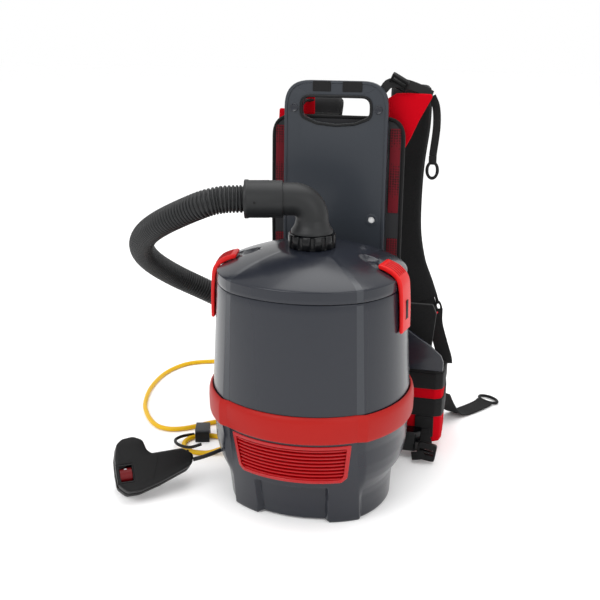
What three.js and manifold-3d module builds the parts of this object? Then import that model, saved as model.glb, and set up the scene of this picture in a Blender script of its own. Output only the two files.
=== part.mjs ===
// Backpack vacuum cleaner: an upright drum with a lift-off lid, a motor base, a moulded back plate and a soft
// carrying harness, with its hose, its handset on a cable and its mains lead lying round it.
// Millimetres, +Z up. The origin is on the floor, on the drum's own axis. -Y is the front, the harness is
// on +Y, and +X is the right-hand side seen from the front.
import * as THREE from "three";
import { mergeVertices } from "three/addons/utils/BufferGeometryUtils.js";
import Module from "manifold-3d";

const wasm = await Module();
wasm.setup();

// Driving dimensions
const GAP = 0.4; // between pieces that touch
const WALL = 3.5; // moulded shells
const BELT_BOTTOM = 137; // the red belt round the joint of base and drum
const BELT_TOP = 177;
const BELT_BACK = 124; // how far back the belt reaches on either side
const JOINT_HEIGHT = 157; // where the drum stands on the base, inside the belt
const DRUM_TOP = 334.6;
const LID_TOP = 381;
const BACK_FLAT = 129.6; // the drum's flat back, against the back plate
const FACET_RADIUS = 168; // the flatter front facet, in plan
const SIDE_ANGLE = 97; // from the front, where the base's flared wall has its side radius
const CREASE = 40; // half-angle of the front facet, degrees
const FOOT_CREASE = 48.5; // the same at the floor
const FOOT_GAP = 52; // half-width of the recess between the two front feet
const NECK_BORE = 19; // hole in the lid
const ELBOW_RADIUS = 23;
const ELBOW_BORE = 18.8;
const HOSE_HEIGHT = 449;
const HOSE_RADIUS = 19.5;
const HOSE_AIM = new THREE.Vector3(-0.965, -0.262, 0).normalize(); // the way the elbow points at rest
const CUFF_END = 95;
const LATCH_ANGLE = 80; // from the front, either side
const LATCH_HALF_WIDTH = 17;
const LATCH_PIVOT = new THREE.Vector2(142.7, 277.5); // distance from the axis, height
const PLATE_FRONT = 130;
const PLATE_THICKNESS = 10;
const PLATE_TOP = 600;
const PLATE_HALF_WIDTH = 80;
const PLATE_BEND = 390; // above this height the plate leans back
const PLATE_LEAN = 3; // degrees
const CORD_RADIUS = 4;
const CABLE_RADIUS = 3;
const WEBBING = 2.4; // thickness

const COLOURS = {
  slate: [0x3c4048, 0.35, 0],
  belt: [0xc83228, 0.4, 0],
  grille: [0xc00a1e, 0.4, 0],
  latch: [0xeb3c3c, 0.4, 0],
  black: [0x141414, 0.5, 0],
  hose: [0x3a3a3a, 0.5, 0],
  rubber: [0x202020, 0.8, 0],
  redFabric: [0xc80a23, 0.9, 0],
  blackFabric: [0x161616, 0.9, 0],
  webbing: [0x1c1c1c, 0.85, 0],
  cord: [0xe1c81e, 0.5, 0],
  steel: [0xb0b4b8, 0.35, 1],
  copper: [0xb4703a, 0.4, 1],
  paper: [0xe8e2d4, 0.95, 0],
  filter: [0x8c9096, 0.95, 0],
};

const machine = new THREE.Group();
machine.name = "backpack_vacuum";

// Helpers: meshes to solids and back

function solidOf(geometry) {
  const plain = geometry.index ? geometry.toNonIndexed() : geometry.clone();
  const bare = new THREE.BufferGeometry();
  bare.setAttribute("position", plain.getAttribute("position"));
  const merged = mergeVertices(bare, 1e-3);
  const made = new wasm.Manifold(
    new wasm.Mesh({
      numProp: 3,
      vertProperties: merged.attributes.position.array,
      triVerts: new Uint32Array(merged.index.array),
    }),
  );
  return made;
}

function geometryOf(solid) {
  const mesh = solid.getMesh();
  const positions = new Float32Array(mesh.numVert * 3);
  for (let i = 0; i < mesh.numVert; i++) {
    positions.set(mesh.vertProperties.subarray(i * mesh.numProp, i * mesh.numProp + 3), i * 3);
  }
  const geometry = new THREE.BufferGeometry();
  geometry.setAttribute("position", new THREE.BufferAttribute(positions, 3));
  geometry.setIndex(new THREE.BufferAttribute(new Uint32Array(mesh.triVerts), 1));
  return geometry;
}

function add(name, shape, colour, parent = machine) {
  const geometry = shape.isBufferGeometry ? shape : geometryOf(shape);
  geometry.computeVertexNormals();
  const [color, roughness, metalness] = COLOURS[colour];
  const mesh = new THREE.Mesh(geometry, new THREE.MeshStandardMaterial({ color, roughness, metalness }));
  mesh.name = name;
  parent.add(mesh);
  return mesh;
}

// A closed surface over rings of equally many points. With loop the last ring joins the first, as on a hollow
// shell; without it both ends get a flat cap.
function skin(rings, loop = false) {
  const count = rings[0].length;
  const positions = rings.flat().flatMap((p) => [p.x, p.y, p.z]);
  const faces = [];
  const last = loop ? rings.length : rings.length - 1;
  for (let i = 0; i < last; i++) {
    const a = i * count;
    const b = ((i + 1) % rings.length) * count;
    for (let j = 0; j < count; j++) {
      const k = (j + 1) % count;
      faces.push(a + j, a + k, b + k, a + j, b + k, b + j);
    }
  }
  if (!loop) {
    [0, rings.length - 1].forEach((i) => {
      const middle = rings[i].reduce((sum, p) => sum.add(p), new THREE.Vector3()).divideScalar(count);
      positions.push(middle.x, middle.y, middle.z);
      const centre = positions.length / 3 - 1;
      for (let j = 0; j < count; j++) {
        const k = (j + 1) % count;
        const [from, to] = i === 0 ? [k, j] : [j, k];
        faces.push(centre, i * count + from, i * count + to);
      }
    });
  }
  const geometry = new THREE.BufferGeometry();
  geometry.setAttribute("position", new THREE.BufferAttribute(new Float32Array(positions), 3));
  geometry.setIndex(signedVolume(positions, faces) < 0 ? faces.reverse() : faces);
  return geometry;
}

function signedVolume(positions, faces) {
  const at = (i) => new THREE.Vector3().fromArray(positions, i * 3);
  let volume = 0;
  for (let i = 0; i < faces.length; i += 3) {
    volume += at(faces[i]).dot(at(faces[i + 1]).cross(at(faces[i + 2])));
  }
  return volume;
}

// A ring or disc turned about Z. Points are [radius, height]; a profile off the axis closes on itself.
function turned(profile, segments = 24) {
  const onAxis = profile[0][0] === 0;
  const points = profile.map(([r, z]) => new THREE.Vector2(r, z));
  if (!onAxis) points.push(points[0].clone());
  let area = 0;
  points.forEach((p, i) => {
    const q = points[(i + 1) % points.length];
    area += p.x * q.y - q.x * p.y;
  });
  if (area < 0) points.reverse();
  return new THREE.LatheGeometry(points, segments).rotateX(Math.PI / 2);
}

function shapeOf(points, holes = []) {
  const shape = new THREE.Shape(points.map(([x, y]) => new THREE.Vector2(x, y)));
  holes.forEach((hole) => shape.holes.push(hole));
  return shape;
}

function extruded(shape, depth, curveSegments = 6) {
  return new THREE.ExtrudeGeometry(shape, { depth, bevelEnabled: false, curveSegments });
}

// A front-view outline (x, z), extruded from y0 back to y1
function frontPrism(shape, y0, y1) {
  return extruded(shape, y1 - y0).rotateX(Math.PI / 2).translate(0, y1, 0);
}

// A plan outline (x, y), extruded from z0 up to z1
function planPrism(shape, z0, z1) {
  return extruded(shape, z1 - z0).translate(0, 0, z0);
}

function block(x0, x1, y0, y1, z0, z1) {
  const box = new THREE.BoxGeometry(x1 - x0, y1 - y0, z1 - z0);
  return box.translate((x0 + x1) / 2, (y0 + y1) / 2, (z0 + z1) / 2);
}

function roundedShape(halfWidth, bottom, top, radius) {
  const shape = new THREE.Shape();
  shape.moveTo(-halfWidth + radius, bottom);
  shape.lineTo(halfWidth - radius, bottom);
  shape.absarc(halfWidth - radius, bottom + radius, radius, -Math.PI / 2, 0);
  shape.absarc(halfWidth - radius, top - radius, radius, 0, Math.PI / 2);
  shape.absarc(-halfWidth + radius, top - radius, radius, Math.PI / 2, Math.PI);
  shape.absarc(-halfWidth + radius, bottom + radius, radius, Math.PI, 1.5 * Math.PI);
  return shape;
}

const SIDES = [["left", -1], ["right", 1]];
const vectors = (points) => points.map(([x, y, z]) => new THREE.Vector3(x, y, z));
const mirrored = (points, side) => points.map(([x, y, z]) => [side * x, y, z]);

// A smooth route through the given points, as that many even steps
function route(points, steps) {
  return new THREE.CatmullRomCurve3(vectors(points), false, "catmullrom", 0.5).getSpacedPoints(steps);
}

// A flat strap or pad: a rectangle that follows a route, its width lying along a given direction
function strap(points, across, width, thickness, steps) {
  const path = route(points, steps);
  return skin(
    path.map((p, i) => {
      const tangent = path[Math.min(i + 1, steps)].clone().sub(path[Math.max(i - 1, 0)]).normalize();
      const wide = across.clone().addScaledVector(tangent, -across.dot(tangent)).normalize();
      const thick = new THREE.Vector3().crossVectors(tangent, wide);
      return [[-1, -1], [1, -1], [1, 1], [-1, 1]].map(([u, v]) =>
        p.clone().addScaledVector(wide, (u * width) / 2).addScaledVector(thick, (v * thickness) / 2),
      );
    }),
  );
}

function tube(points, radius, steps, sides = 8) {
  const circle = new THREE.Shape();
  for (let i = 0; i < sides; i++) {
    const angle = (i / sides) * 2 * Math.PI;
    const point = [radius * Math.cos(angle), radius * Math.sin(angle)];
    if (i === 0) circle.moveTo(...point);
    else circle.lineTo(...point);
  }
  const extrudePath = new THREE.CatmullRomCurve3(vectors(points), false, "catmullrom", 0.5);
  return new THREE.ExtrudeGeometry(circle, { steps, extrudePath });
}

// The casing's plan outline: round, with a flatter front facet between two creases and a flat back.
// A section is { side, near, front, crease, blend, facet, back }: the side radius, the radius where the side
// begins, the front depth, the crease half-angle, how far past it the side begins, the facet's own radius and
// the depth of the flat back.

function sectionRadius(angle, section) {
  const { side, near = side, front, crease = CREASE, blend = 8, facet = FACET_RADIUS } = section;
  const fromFront = Math.abs(angle);
  const offset = facet - front;
  const depth = (degrees) => {
    const t = THREE.MathUtils.degToRad(degrees);
    return -offset * Math.cos(t) + Math.sqrt(facet ** 2 - (offset * Math.sin(t)) ** 2);
  };
  if (fromFront <= crease) return depth(fromFront);
  const share = Math.min(1, (fromFront - crease) / blend);
  const begins = crease + blend;
  const along = Math.min(1, Math.max(0, (fromFront - begins) / (SIDE_ANGLE - begins)));
  const wall = near + (side - near) * along;
  const round = depth(crease) * (1 - share) + wall * share;
  const behind = Math.cos(THREE.MathUtils.degToRad(180 - fromFront));
  return behind > 0 ? Math.min(round, (section.back ?? BACK_FLAT) / behind) : round;
}

function sectionRing(z, section, inset = 0) {
  const { side, crease = CREASE, blend = 8, back = BACK_FLAT } = section;
  const corner = side > back ? 180 - THREE.MathUtils.radToDeg(Math.acos(back / side)) : 155;
  const half = [];
  for (let k = 0; k <= 5; k++) half.push(crease + blend + (k / 5) * (corner - crease - blend));
  const angles = [];
  for (let k = -4; k <= 4; k++) angles.push((k / 4) * crease);
  angles.push(...half, 180, ...half.map((a) => -a).reverse());
  return angles.map((angle) => {
    const r = sectionRadius(angle, section) - inset;
    const t = THREE.MathUtils.degToRad(angle);
    return new THREE.Vector3(r * Math.sin(t), -r * Math.cos(t), z);
  });
}

// A horizontal circle with the same number of points as a section's ring
function circleRing(z, radius, section) {
  return sectionRing(z, section).map((p) => p.clone().setZ(0).setLength(radius).setZ(z));
}

const levels = (table, inset = 0) => table.map(([z, section]) => sectionRing(z, section, inset));

// Base housing: motor bay, front apron with two feet, exhaust window

const apron = (z, side, near, blend) => ({
  side,
  near,
  front: 112 + (25 * z) / BELT_BOTTOM,
  crease: FOOT_CREASE + ((CREASE - FOOT_CREASE) * z) / BELT_BOTTOM,
  blend,
});
const SPIGOT = { side: 146.6, front: 135.8 };
const BASE_LEVELS = [
  [0, apron(0, 121, 121, 3)],
  [38, apron(38, 122.8, 126, 3)],
  [51, apron(51, 124, 130, 4)],
  [60, apron(60, 129.5, 133.5, 4)],
  [68, apron(68, 136.5, 136.5, 5)],
  [80, apron(80, 141, 140, 6)],
  [96, apron(96, 143.6, 143, 7)],
  [120, apron(120, 144.5, 144, 8)],
  [BELT_BOTTOM - GAP, apron(BELT_BOTTOM, 147.3, 147.3, 8)],
];
const RECESS_TOP = 62; // the recess between the feet
const RECESS_DEPTH = 8;
const COVER_RADIUS = 86;

function grilleOutline(extra) {
  const top = BELT_BOTTOM - 4 + extra;
  const bottom = 71 - extra;
  const wide = 84 + extra;
  const narrow = 74 + extra;
  const corner = 10;
  const shape = new THREE.Shape();
  shape.moveTo(-wide, top);
  shape.lineTo(-narrow - 2, bottom + corner);
  shape.lineTo(-narrow + corner, bottom);
  shape.lineTo(narrow - corner, bottom);
  shape.lineTo(narrow + 2, bottom + corner);
  shape.lineTo(wide, top);
  return shape;
}

function buildBase() {
  const bayLevels = BASE_LEVELS.slice(1, -1);
  const floorTop = 8;
  const floorBottom = 4;
  const bottomSection = BASE_LEVELS[0][1];
  const outer = solidOf(
    skin([
      ...levels(BASE_LEVELS),
      sectionRing(BELT_BOTTOM - GAP + 0.01, SPIGOT),
      sectionRing(JOINT_HEIGHT - GAP, SPIGOT),
    ]),
  );
  const bay = solidOf(
    skin([
      sectionRing(floorTop, bottomSection, WALL),
      ...levels(bayLevels, WALL),
      sectionRing(BELT_BOTTOM, SPIGOT, WALL),
      sectionRing(JOINT_HEIGHT + 5, SPIGOT, WALL),
    ]),
  );
  const skirtRings = [-5, floorBottom].map((z) => sectionRing(z, bottomSection, WALL));
  const skirt = solidOf(skin(skirtRings));
  const toe = (halfWidth, top, inset) => {
    const zone = solidOf(block(-halfWidth, halfWidth, -200, -60, -6, top));
    return zone.subtract(solidOf(skin([sectionRing(-8, bottomSection, inset), ...levels(BASE_LEVELS, inset)])));
  };
  const lift = solidOf(block(-FOOT_GAP, FOOT_GAP, -200, -60, -6, 3.6));
  const exhaustWindow = solidOf(frontPrism(grilleOutline(GAP), -200, -60));
  const disc = (radius, z0, z1) => solidOf(turned([[0, z0], [radius, z0], [radius, z1], [0, z1]], 32));
  const floorHole = disc(COVER_RADIUS - 8, -6, 20);
  const coverStep = disc(COVER_RADIUS + GAP, -6, 3.9);
  const behindToe = solidOf(skin([sectionRing(-8, bottomSection, 16), sectionRing(8, bottomSection, 16)]));
  const thick = toe(FOOT_GAP + WALL, RECESS_TOP + WALL, RECESS_DEPTH + WALL);
  const shell = outer
    .subtract(bay.subtract(thick))
    .subtract(skirt.subtract(thick))
    .subtract(toe(FOOT_GAP, RECESS_TOP, RECESS_DEPTH))
    .subtract(lift.subtract(behindToe))
    .subtract(exhaustWindow)
    .subtract(coverStep)
    .subtract(floorHole);
  add("base_housing", shell, "slate");
  const plug = COVER_RADIUS - 8.5;
  const cover = turned([[0, 0], [COVER_RADIUS, 0], [COVER_RADIUS, 3.5], [plug, 3.5], [plug, 7], [0, 7]], 32);
  add("motor_bay_cover", cover, "slate");
}

function buildGrille() {
  const proud = 1.5; // it stands this far out of the housing
  const slots = 7;
  const slotPitch = 7.4;
  const slotHeight = 4;
  const outside = solidOf(skin(levels(BASE_LEVELS, -proud)));
  const [floorSection, beltSection] = [BASE_LEVELS[0][1], BASE_LEVELS.at(-1)[1]];
  const taller = [[-2, floorSection], ...BASE_LEVELS, [BELT_BOTTOM + 3, beltSection]];
  const inside = solidOf(skin(levels(taller, WALL)));
  let frame = outside.subtract(inside).intersect(solidOf(frontPrism(grilleOutline(0), -200, -60)));
  for (let i = 0; i < slots; i++) {
    const z = 79 + i * slotPitch;
    frame = frame.subtract(solidOf(block(-66 - i, 66 + i, -200, -60, z, z + slotHeight)));
  }
  add("exhaust_grille", frame, "grille");
}

// Belt, drum and lid

const DRUM_LEVELS = [
  [JOINT_HEIGHT, { side: 146.4, front: 135.8 }],
  [BELT_TOP, { side: 145.5, front: 135.6 }],
  [DRUM_TOP - GAP, { side: 136.3, front: 128.1 }],
];

function buildBelt() {
  const outer = { side: 152.5, front: 141.5 };
  const inner = { side: 147.2, front: 136.4 };
  const band = skin(
    levels([
      [BELT_BOTTOM, { side: 150.5, front: 139.5 }],
      [BELT_BOTTOM + 3, outer],
      [BELT_TOP - 5, outer],
      [BELT_TOP, { side: 149, front: 138 }],
      [BELT_TOP, inner],
      [BELT_BOTTOM, inner],
    ]),
    true,
  );
  const reach = block(-200, 200, -200, BELT_BACK, BELT_BOTTOM - 5, BELT_TOP + 5);
  add("belt_band", solidOf(band).intersect(solidOf(reach)), "belt");
}

// Turns a piece made with its outward side on +X to a compass angle from the front
function facing(geometry, angle) {
  return geometry.rotateZ(THREE.MathUtils.degToRad(angle - 90));
}

// A side-view outline (distance from the axis, height) as a slab of the given half-width
function radialSlab(points, halfWidth, angle, holes = []) {
  const slab = extruded(shapeOf(points, holes), 2 * halfWidth, 5).rotateX(Math.PI / 2);
  return facing(slab.translate(0, halfWidth, 0), angle);
}

function pinHole() {
  const hole = new THREE.Path();
  return hole.absarc(LATCH_PIVOT.x, LATCH_PIVOT.y, 1.6, 0, 2 * Math.PI, true);
}

function buildDrum() {
  const floor = 186;
  const hole = 45;
  const [foot, waist, rim] = DRUM_LEVELS;
  let drum = solidOf(
    skin(
      [
        ...levels(DRUM_LEVELS),
        sectionRing(rim[0], rim[1], WALL),
        sectionRing(floor, waist[1], WALL),
        circleRing(floor, hole, waist[1]),
        circleRing(floor - 4, hole, waist[1]),
        sectionRing(floor - 4, waist[1], WALL),
        sectionRing(foot[0], foot[1], WALL),
      ],
      true,
    ),
  );
  const lug = [[135.4, 272], [144.3, 274.7], [144.9, 277.5], [144.3, 280.3], [141.9, 281.5], [135.4, 283]];
  [-1, 1].forEach((side) => {
    drum = drum.add(solidOf(radialSlab(lug, 3.6, side * LATCH_ANGLE, [pinHole()])));
  });
  add("drum", drum, "slate");
  const sealProfile = [[-6, 4.2], [3, 4.2], [3, 8], [-6, 8]];
  const seal = sealProfile.map(([z, inset]) => sectionRing(DRUM_TOP + z, rim[1], inset));
  add("lid_seal", skin(seal, true), "rubber");
}

// The dome rises from the shoulder to the seat, the flat that the lock ring sits on
const SEAT_RADIUS = 48;
const LID_SHOULDER = { z: 351, side: 136, front: 127.6 };
const DOME_CURVE = 1.27; // 1 is a cone, 2 an ellipse

function domeLevel(z) {
  const rise = (z - LID_SHOULDER.z) / (LID_TOP - LID_SHOULDER.z);
  const share = (1 - rise ** DOME_CURVE) ** (1 / DOME_CURVE);
  const front = SEAT_RADIUS + (LID_SHOULDER.front - SEAT_RADIUS) * share;
  const side = SEAT_RADIUS + (LID_SHOULDER.side - SEAT_RADIUS) * share;
  return [z, { side, front, facet: (FACET_RADIUS * front) / LID_SHOULDER.front }];
}

const LID_LEVELS = [
  [DRUM_TOP + GAP, { side: 136.6, front: 128.4 }],
  ...[351, 355, 360, 365, 370, 375, 379].map(domeLevel),
];

// The recess each latch head lies in, and the finger scoop at its tip; grow makes both that much larger
function latchPocket(grow) {
  const floor = [
    [102, 364.6], [108, 363], [115.5, 360.3], [125.5, 355.2], [131.8, 349.2], [134.6, 342], [135.6, 333],
  ];
  const sunk = floor.map(([r, z]) => [r - grow, z - grow]);
  const outline = [[102 - grow, 400], ...sunk, [170, 333 - grow], [170, 400]];
  const pockets = [-1, 1].flatMap((side) => {
    const scoop = new THREE.SphereGeometry(1, 10, 6);
    scoop.scale(17 + grow, 16 + grow, 9 + grow).translate(93, 0, 374);
    return [
      solidOf(radialSlab(outline, LATCH_HALF_WIDTH + 1.2 + grow, side * LATCH_ANGLE)),
      solidOf(facing(scoop, side * LATCH_ANGLE)),
    ];
  });
  return pockets.reduce((all, one) => all.add(one));
}

function buildLid() {
  const dome = LID_LEVELS.at(-1)[1];
  const outer = solidOf(skin([...levels(LID_LEVELS), circleRing(LID_TOP, SEAT_RADIUS, dome)]));
  const hollow = solidOf(
    skin([
      sectionRing(LID_LEVELS[0][0] - 4, LID_LEVELS[0][1], WALL),
      sectionRing(LID_LEVELS[0][0], LID_LEVELS[0][1], WALL - 0.5),
      ...LID_LEVELS.slice(1, -1).map(([z, section]) => sectionRing(z - WALL, section, WALL - 0.5)),
      circleRing(LID_TOP - 4.2, SEAT_RADIUS, dome),
    ]),
  );
  const bore = solidOf(turned([[0, 350], [NECK_BORE, 350], [NECK_BORE, 400], [0, 400]], 24));
  const lid = outer.subtract(hollow.subtract(latchPocket(3))).subtract(latchPocket(0)).subtract(bore);
  add("lid", lid, "slate");
  const spigot = [
    [15, 325], [17.6, 325], [17.6, 369], [34, 369], [34, 372], [17.6, 372], [17.6, 396], [15, 396],
  ];
  add("inlet_spigot", turned(spigot, 24), "black");
}

// Latches: each swings out about a pin through a lug on the drum

function buildLatches() {
  const { x: pivotR, y: pivotZ } = LATCH_PIVOT;
  const bottom = [];
  for (let i = 0; i <= 4; i++) {
    const t = Math.PI + (i / 4) * Math.PI;
    bottom.push([pivotR + 2.6 * Math.cos(t), pivotZ + 2.6 * Math.sin(t)]);
  }
  const outside = [[143.2, 334], [141.6, 346.5], [136.8, 355.5], [127.5, 363.5], [116.5, 368.2], [108.6, 370]];
  const inside = [
    [106.4, 367.8], [107.6, 364.6], [115.5, 362.2], [126.5, 356.8], [133, 350.6], [136.2, 342.5], [137.9, 334],
  ];
  const slot = block(pivotR - 10, pivotR + 10, -4.2, 4.2, pivotZ - 10, pivotZ + 6.5);
  SIDES.forEach(([name, side]) => {
    const angle = side * LATCH_ANGLE;
    const body = solidOf(radialSlab([...bottom, ...outside, ...inside], LATCH_HALF_WIDTH, angle, [pinHole()]));
    add("latch_" + name, body.subtract(solidOf(facing(slot.clone(), angle))), "latch");
    const pin = new THREE.CylinderGeometry(1.25, 1.25, 30, 10).translate(pivotR, 0, pivotZ);
    add("latch_pin_" + name, facing(pin, angle), "steel");
  });
}

// Motor, fan, filters and bag inside

function buildInside() {
  const can = [[30, 178], [72, 178], [72, 58], [24, 58], [24, 62], [67, 62], [67, 174], [30, 174]];
  add("motor_casing", turned(can), "black");
  add("motor_stator", turned([[34, 80], [66.5, 80], [66.5, 136], [34, 136]]), "copper");
  add(
    "motor_armature",
    turned([[0, 54], [6, 54], [6, 82], [31, 82], [31, 134], [6, 134], [6, 172], [0, 172]]),
    "steel",
  );
  add("fan_impeller", turned([[6.4, 146], [60, 146], [60, 149], [22, 156], [22, 168], [6.4, 168]]), "black");
  add("bag_filter", turned([[52, 187], [118, 187], [118, 196], [60, 214], [52, 214]]), "filter");
  add("dust_bag", turned([[0, 222], [96, 222], [118, 240], [118, 290], [98, 312], [0, 312]], 20), "paper");
}

// Elbow, its lock ring and the hose cuff

// Turns a piece made along +Z to point along a level direction
function aimed(geometry, direction) {
  const up = new THREE.Vector3(0, 0, 1);
  const across = new THREE.Vector3().crossVectors(direction, up);
  return geometry.applyMatrix4(new THREE.Matrix4().makeBasis(up, across, direction));
}

// The elbow's centre line, from a height on the axis round to a distance along the hose's direction
function elbowPath(from, to) {
  const bend = 25;
  const at = (along, z) => new THREE.Vector3(0, 0, z).addScaledVector(HOSE_AIM, along);
  const points = [at(0, from)];
  for (let i = 0; i <= 8; i++) {
    const t = (i / 8) * (Math.PI / 2);
    points.push(at(bend - bend * Math.cos(t), HOSE_HEIGHT - bend + bend * Math.sin(t)));
  }
  return [...points, at(to, HOSE_HEIGHT)];
}

// A round pipe through the given points, one ring square to the pipe at each
function pipe(points, radius, sides = 16) {
  const side = new THREE.Vector3(0, 0, 1).cross(HOSE_AIM).normalize();
  return skin(
    points.map((p, i) => {
      const next = points[Math.min(i + 1, points.length - 1)];
      const tangent = next.clone().sub(points[Math.max(i - 1, 0)]).normalize();
      const other = new THREE.Vector3().crossVectors(tangent, side);
      return Array.from({ length: sides }, (_, k) => {
        const t = (k / sides) * 2 * Math.PI;
        const across = side.clone().multiplyScalar(radius * Math.cos(t));
        return p.clone().add(across).addScaledVector(other, radius * Math.sin(t));
      });
    }),
  );
}

function buildElbow() {
  const teeth = 12;
  const ringShape = new THREE.Shape();
  for (let i = 0; i < teeth; i++) {
    [[-0.26, 31], [-0.2, 34], [0.2, 34], [0.26, 31]].forEach(([share, r], k) => {
      const t = ((i + share) / teeth) * 2 * Math.PI;
      const point = [r * Math.cos(t), r * Math.sin(t)];
      if (i === 0 && k === 0) ringShape.moveTo(...point);
      else ringShape.lineTo(...point);
    });
  }
  const hole = new THREE.Path();
  hole.absarc(0, 0, ELBOW_RADIUS + 1.5, 0, 2 * Math.PI, true);
  ringShape.holes.push(hole);
  add("lock_ring", planPrism(ringShape, LID_TOP + GAP, 401), "black");
  const bell = turned([[0, 401.5], [30, 401.5], [30, 405], [25, 411], [ELBOW_RADIUS, 420], [0, 420]], 16);
  const elbow = solidOf(pipe(elbowPath(LID_TOP + 1, 61), ELBOW_RADIUS))
    .add(solidOf(bell))
    .subtract(solidOf(pipe(elbowPath(LID_TOP - 10, 80), ELBOW_BORE, 12)));
  add("hose_elbow", elbow, "hose");
  const cuff = [
    [ELBOW_RADIUS + 0.4, 42], [26, 42], [26, 89], [27.2, 91], [27.2, CUFF_END], [HOSE_RADIUS, CUFF_END],
    [HOSE_RADIUS, 62], [ELBOW_RADIUS + 0.4, 62],
  ];
  add("hose_cuff", aimed(turned(cuff, 20), HOSE_AIM).translate(0, 0, HOSE_HEIGHT), "hose");
}

// Hose, mains lead and handset cable, each lying where it does at rest

const HOSE_ROUTE = [
  [-96.2, -26.1, 449], [-124, -33.6, 447.5], [-156, -38, 438], [-219, -21, 407], [-267, 20, 374],
  [-298, 73, 338], [-308, 131, 300], [-295, 189, 261], [-255, 233, 224], [-203, 266, 187], [-152, 293, 146],
  [-101, 318, 104], [-47, 339, 64], [4, 351, 38], [50, 355, 24], [98, 350, 22.5],
];
const CORD_ROUTE = [
  [-131, 52.4, 24], [-148, 57, 19], [-167, 54.5, 10], [-186, 46.5, 4.6], [-206, 42.5, 4.4],
  [-223, 46.8, 4.4], [-234.7, 58.5, 4.4], [-239, 74.5, 4.4], [-234.7, 90.5, 4.4], [-223, 102.2, 4.4],
  [-207, 106.5, 4.4], [-188, 106.5, 4.4], [-172, 110.8, 4.4], [-160.3, 122.5, 4.4], [-156, 138.5, 4.4],
  [-160.3, 154.5, 4.4], [-172, 166.2, 4.4], [-188, 170.5, 4.4], [-204, 167, 4.4], [-222, 154, 4.4],
  [-242, 135, 4.4], [-262, 119.5, 4.4], [-284, 112, 4.4], [-307, 117, 4.4], [-329, 136, 4.4],
  [-350, 164, 4.4], [-369, 200, 4.4], [-388, 268, 4.4], [-390, 345, 4.4], [-366, 402, 4.4],
  [-316, 430, 4.4], [-262, 442, 4.4], [-205, 455, 4.4], [-164, 456, 4.4], [-138, 442, 4.4],
  [-128, 419, 4.4],
];
const CABLE_ROUTE = [
  [-176.2, -45.1, 40.6], [-163, -35, 42], [-149, -20, 44], [-138, -4, 45], [-131, 8, 45], [-126, 20, 45],
];
const COIL_CENTRE = [-64, 442];

function buildLeads() {
  add("suction_hose", tube(HOSE_ROUTE, HOSE_RADIUS, 20, 10), "hose");
  const connector = turned([[0, 0], [21, 0], [22, 4], [22, 26], [19, 30], [17, 62], [0, 62]], 16);
  const aim = new THREE.Vector3(60, -9, 0).normalize();
  add("hose_connector", aimed(connector, aim).translate(99.4, 349.8, 22.5), "black");
  add("power_cord", tube(CORD_ROUTE, CORD_RADIUS, 70, 8), "cord");
  const [x, y] = COIL_CENTRE;
  add("power_cord_coil", turned([[29, 0.6], [62, 0.6], [62, 32], [29, 32]], 20).translate(x, y, 0), "cord");
  const plug = shapeOf([[38, 487], [74, 487], [82, 494], [82, 516], [74, 523], [38, 523]]);
  add("power_plug", planPrism(plug, 0.6, 40), "black");
  const bore = CORD_RADIUS + GAP;
  const gland = turned([[bore, 0], [9, 0], [9, 4], [6, 15], [bore, 15]], 12).rotateY(-Math.PI / 2);
  add("cord_gland", gland.rotateZ(-0.38).translate(-116.2, 46.5, 24), "black");
  add("handset_cable", tube(CABLE_ROUTE, CABLE_RADIUS, 14, 8), "rubber");
  const tunnel = solidOf(block(-20, 20, -13.5, 13.5, -2, 13));
  const bracket = solidOf(block(-12, 12, -17, 17, 0.4, 22)).subtract(tunnel);
  add("cord_clip", geometryOf(bracket).rotateZ(0.3).translate(-218, 103, 0), "black");
}

// Handset: two shells standing on their lower edge and leaning back, with a rocker switch

const HANDSET_ORIGIN = new THREE.Vector3(-243, -136.3, 24.7);
const HANDSET_OUTLINE = [
  [-13, 34], [-12, 12], [0, 0], [20, 0], [53, 9.5], [97, 26], [103, 31], [107, 44], [91, 56], [43, 54.5],
  [37, 61], [33, 77], [19, 84], [2, 82], [-7, 75], [-12, 55],
];

function handsetPlace(geometry) {
  const along = new THREE.Vector3(0.81, 0.585, -0.033);
  const up = new THREE.Vector3(-0.382, 0.57, 0.728).normalize();
  along.addScaledVector(up, -along.dot(up)).normalize();
  const basis = new THREE.Matrix4().makeBasis(along, up, new THREE.Vector3().crossVectors(along, up));
  return geometry.applyMatrix4(basis).translate(...HANDSET_ORIGIN.toArray());
}

function buildHandset() {
  const outline = shapeOf(HANDSET_OUTLINE);
  const pocket = solidOf(block(-9.4, 10.4, 15.6, 39.4, -14, 5));
  const front = solidOf(extruded(outline, 16.8).translate(0, 0, -16.8)).subtract(pocket);
  add("handset_front_shell", handsetPlace(geometryOf(front)), "black");
  add("handset_rear_shell", handsetPlace(extruded(outline, 17).translate(0, 0, -34.2)), "black");
  const rocker = new THREE.CylinderGeometry(11.4, 11.4, 18, 16, 1).rotateZ(Math.PI / 2);
  const cap = solidOf(rocker).intersect(solidOf(block(-20, 20, -11, 11, -3, 20)));
  add("rocker_switch", handsetPlace(geometryOf(cap).translate(0.5, 27.5, -9.2)), "grille");
}

// Back plate with its handle slot, and the moulded hip wings

function leaning(geometry) {
  return geometry
    .translate(0, -PLATE_FRONT, -PLATE_BEND)
    .rotateX(-THREE.MathUtils.degToRad(PLATE_LEAN))
    .translate(0, PLATE_FRONT, PLATE_BEND);
}

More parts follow.
